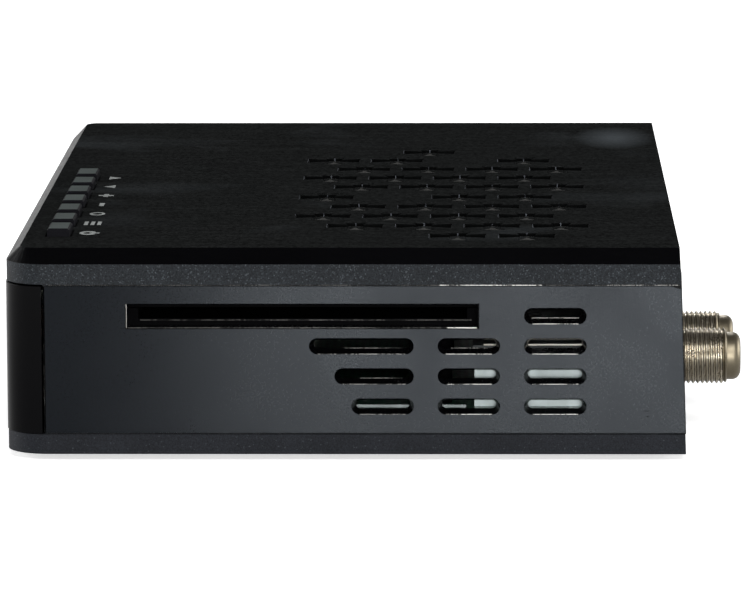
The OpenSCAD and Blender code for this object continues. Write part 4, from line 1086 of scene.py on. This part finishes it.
class RECEIVER_OT_trim(bpy.types.Operator):
    """Adds scuffs, the tuner lid's rolled edge, the earth rail and the flanges behind the side panels"""

    bl_idname = "receiver.trim"
    bl_label = "Small trim"

    def execute(self, context):
        tones = context.scene.receiver_colours

        # Two small scuffs low on the panel
        form = bmesh.new()
        for start, end, z in ((44.2, 45.9, 8.3), (44.7, 45.7, 7.38)):
            middle = (start + end) / 2
            outline = (start, z), (middle, z - 0.09), (end, z + 0.02), (middle, z + 0.07)
            loft(form, *([(x, *point) for point in outline] for x in (83.98, 84.0)))
        made("panel_scuffs", form, moulded_plastic("abs_scuffed", tones.gloss, 0.7, level=0.05))

        # Rolled edge of the tuner's lid, a pale bead painted as highlight, and the tinned earth rail on the
        # board's edge
        lid_edge_highlight = moulded_plastic("lid_edge_painted_highlight", linear("#f4efe2"), 0.4, 0.3 * MM, 0.05, 0.5)
        beads("lid_rolled_edge", [((79.15, 18.0, 18.62), (79.15, 47.4, 18.62))], 0.15, lid_edge_highlight, 8)
        # The earth rail's tin is a darker copy of the can's tin, painted as shade
        tin = plated_metal("steel_tin_rail_painted_shade", tint(tones.tin, 0.62), 0.45, tint(tones.tin, 0.5))
        form = bmesh.new()
        loft(form, *([(x, y, z) for x, y in bar(79.5, -30, 80.3, 15.1)] for z in (8.18, 8.7)))
        made("board_earth_rail", form, tin)

        # The rear panel leans forward by 1.15 mm over its height, and so do the flanges.
        black = moulded_plastic("abs_black_flange", tones.gloss, 0.5, level=0.1)
        rear, lean = 51.575, 1.15 / 34.3
        for name, side in (("rear_flange_left", -1), ("rear_flange_right", 1)):
            corners = bar(80.0, 4.4, 83.9, 31.5)
            form = bmesh.new()
            ends = ([(side * x, rear - (z - 1) * lean + y, z) for x, z in corners] for y in (-1.2, 0.12))
            loft(form, *ends)
            made(name, form, black)
        return {"FINISHED"}


def vent_places():
    """Middles of the cross vents in the cover, row by row. Columns are half a pitch apart.

    The rows before the split stand one gap further from the rest."""
    rows = ("3", "026", "1357", "0246", "1357", "046", "1357", "0246", "1357", "46")
    pitch, last, gap, split, first_y, top = 11.64, 68.2, 1.5, 5, -9.625, 35.3
    places = []
    for row, columns in enumerate(rows):
        x = last - (len(rows) - 1 - row) * pitch - (gap if row < split else 0)
        places += [Vector((x, first_y + int(column) * pitch / 2, top)) * MM for column in columns]
    return places


def paint_vent_shade(places):
    """Paints shade on the walls of the cross vents, except at their far tips and along their near arms."""
    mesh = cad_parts["top_cover"].data
    tone = tint(bpy.context.scene.receiver_colours.top, 0.3)
    mesh.materials.append(moulded_plastic("abs_vent_wall_painted_shade", tone, 0.8, 0.5 * MM, 0.3, 0.0))
    tip, near, side, floor = Vector((4.6 * MM, 0)), 5.3 * MM, 1.6 * MM, 33 * MM
    for face in mesh.polygons:
        if abs(face.normal.z) < 0.5 and face.center.z > floor:
            around = [(face.center - place).to_2d() for place in places]
            at_tip = face.normal.x > 0.9 and any((way + tip).length < 0.4 * MM for way in around)
            if not at_tip and any(way.length < near and way.x < side for way in around):
                face.material_index = 3


class RECEIVER_OT_vents(bpy.types.Operator):
    """Paints shade on the walls of the cross vents in the cover, and adds their ramps in a paler colour as
    painted highlight, with painted glints at their tips and ends
    """

    bl_idname = "receiver.vents"
    bl_label = "Cross vents"

    def execute(self, context):
        places = vent_places()
        paint_vent_shade(places)
        tree = copies_tree()

        # Ramps, two in each cross, that widen and fall outwards, painted paler than the top as a highlight
        form = bmesh.new()
        for side in (1, -1):
            rings = []
            for x, wide in ((0.66, 0.12), (1.35, 0.6), (1.75, 1.25), (1.95, 1.46), (4.3, 1.95)):
                fall = -0.25 - (x - 0.65) * 0.1646
                rings.append([(side * x, y, fall + z) for y, z in bar(-wide, -0.05, wide, 0.03)])
            loft(form, *rings)
        ramp_highlight = moulded_plastic("abs_ramp_painted_highlight", linear("#3d3d3c"), 0.8, 0.2 * MM, 0.2, 0.0)
        copied("vent_ramps", tree, form, places, ramp_highlight)

        # Painted glints at the tips of the crosses, and on the end of each front arm
        dim = painted_glint_abs("abs_painted_glint_dim", context.scene.receiver_colours.gloss, linear("#52555a"), 0.75, 0.0)
        form = bmesh.new()
        loft(form, *([(x, y, z) for x, y in bar(-4.6, -0.09, -4.52, 0.09)] for z in (-0.75, -0.2)))
        copied("cross_tips", tree, form, places, dim)
        form = bmesh.new()
        bead(form, [Vector((x, -4.83, -0.03)) * MM for x in (-2.1, 0.0, 2.1)], 0.05 * MM)
        copied("cross_ends", tree, form, places, dim)
        return {"FINISHED"}


# ---- add-on ----


OPERATORS = (
    RECEIVER_OT_studio,
    RECEIVER_OT_case,
    RECEIVER_OT_keys,
    RECEIVER_OT_connectors,
    RECEIVER_OT_inside,
    RECEIVER_OT_edges,
    RECEIVER_OT_trim,
    RECEIVER_OT_vents,
)


class RECEIVER_PT_panel(bpy.types.Panel):
    """Lists the steps that dress the receiver"""

    bl_idname = "RECEIVER_PT_panel"
    bl_label = "Satellite receiver"
    bl_space_type = "VIEW_3D"
    bl_region_type = "UI"
    bl_category = "Receiver"

    def draw(self, context):
        for operator in OPERATORS:
            self.layout.operator(operator.bl_idname)
        scene = context.scene
        for group in (scene.receiver_sizes, scene.receiver_colours, scene.receiver_studio):
            box = self.layout.box()
            for name in group.__annotations__:
                box.prop(group, name)


CLASSES = (ReceiverSizes, ReceiverColours, StudioSettings, *OPERATORS, RECEIVER_PT_panel)


def register():
    for entry in CLASSES:
        bpy.utils.register_class(entry)
    bpy.types.Scene.receiver_sizes = bpy.props.PointerProperty(type=ReceiverSizes)
    bpy.types.Scene.receiver_colours = bpy.props.PointerProperty(type=ReceiverColours)
    bpy.types.Scene.receiver_studio = bpy.props.PointerProperty(type=StudioSettings)


def unregister():
    del bpy.types.Scene.receiver_studio, bpy.types.Scene.receiver_colours, bpy.types.Scene.receiver_sizes
    for entry in reversed(CLASSES):
        bpy.utils.unregister_class(entry)


def main():
    """Runs every step."""
    register()
    bpy.ops.receiver.studio()
    bpy.ops.receiver.case()
    bpy.ops.receiver.keys()
    bpy.ops.receiver.connectors()
    bpy.ops.receiver.inside()
    bpy.ops.receiver.edges()
    bpy.ops.receiver.trim()
    bpy.ops.receiver.vents()


if __name__ == "__main__":
    main()
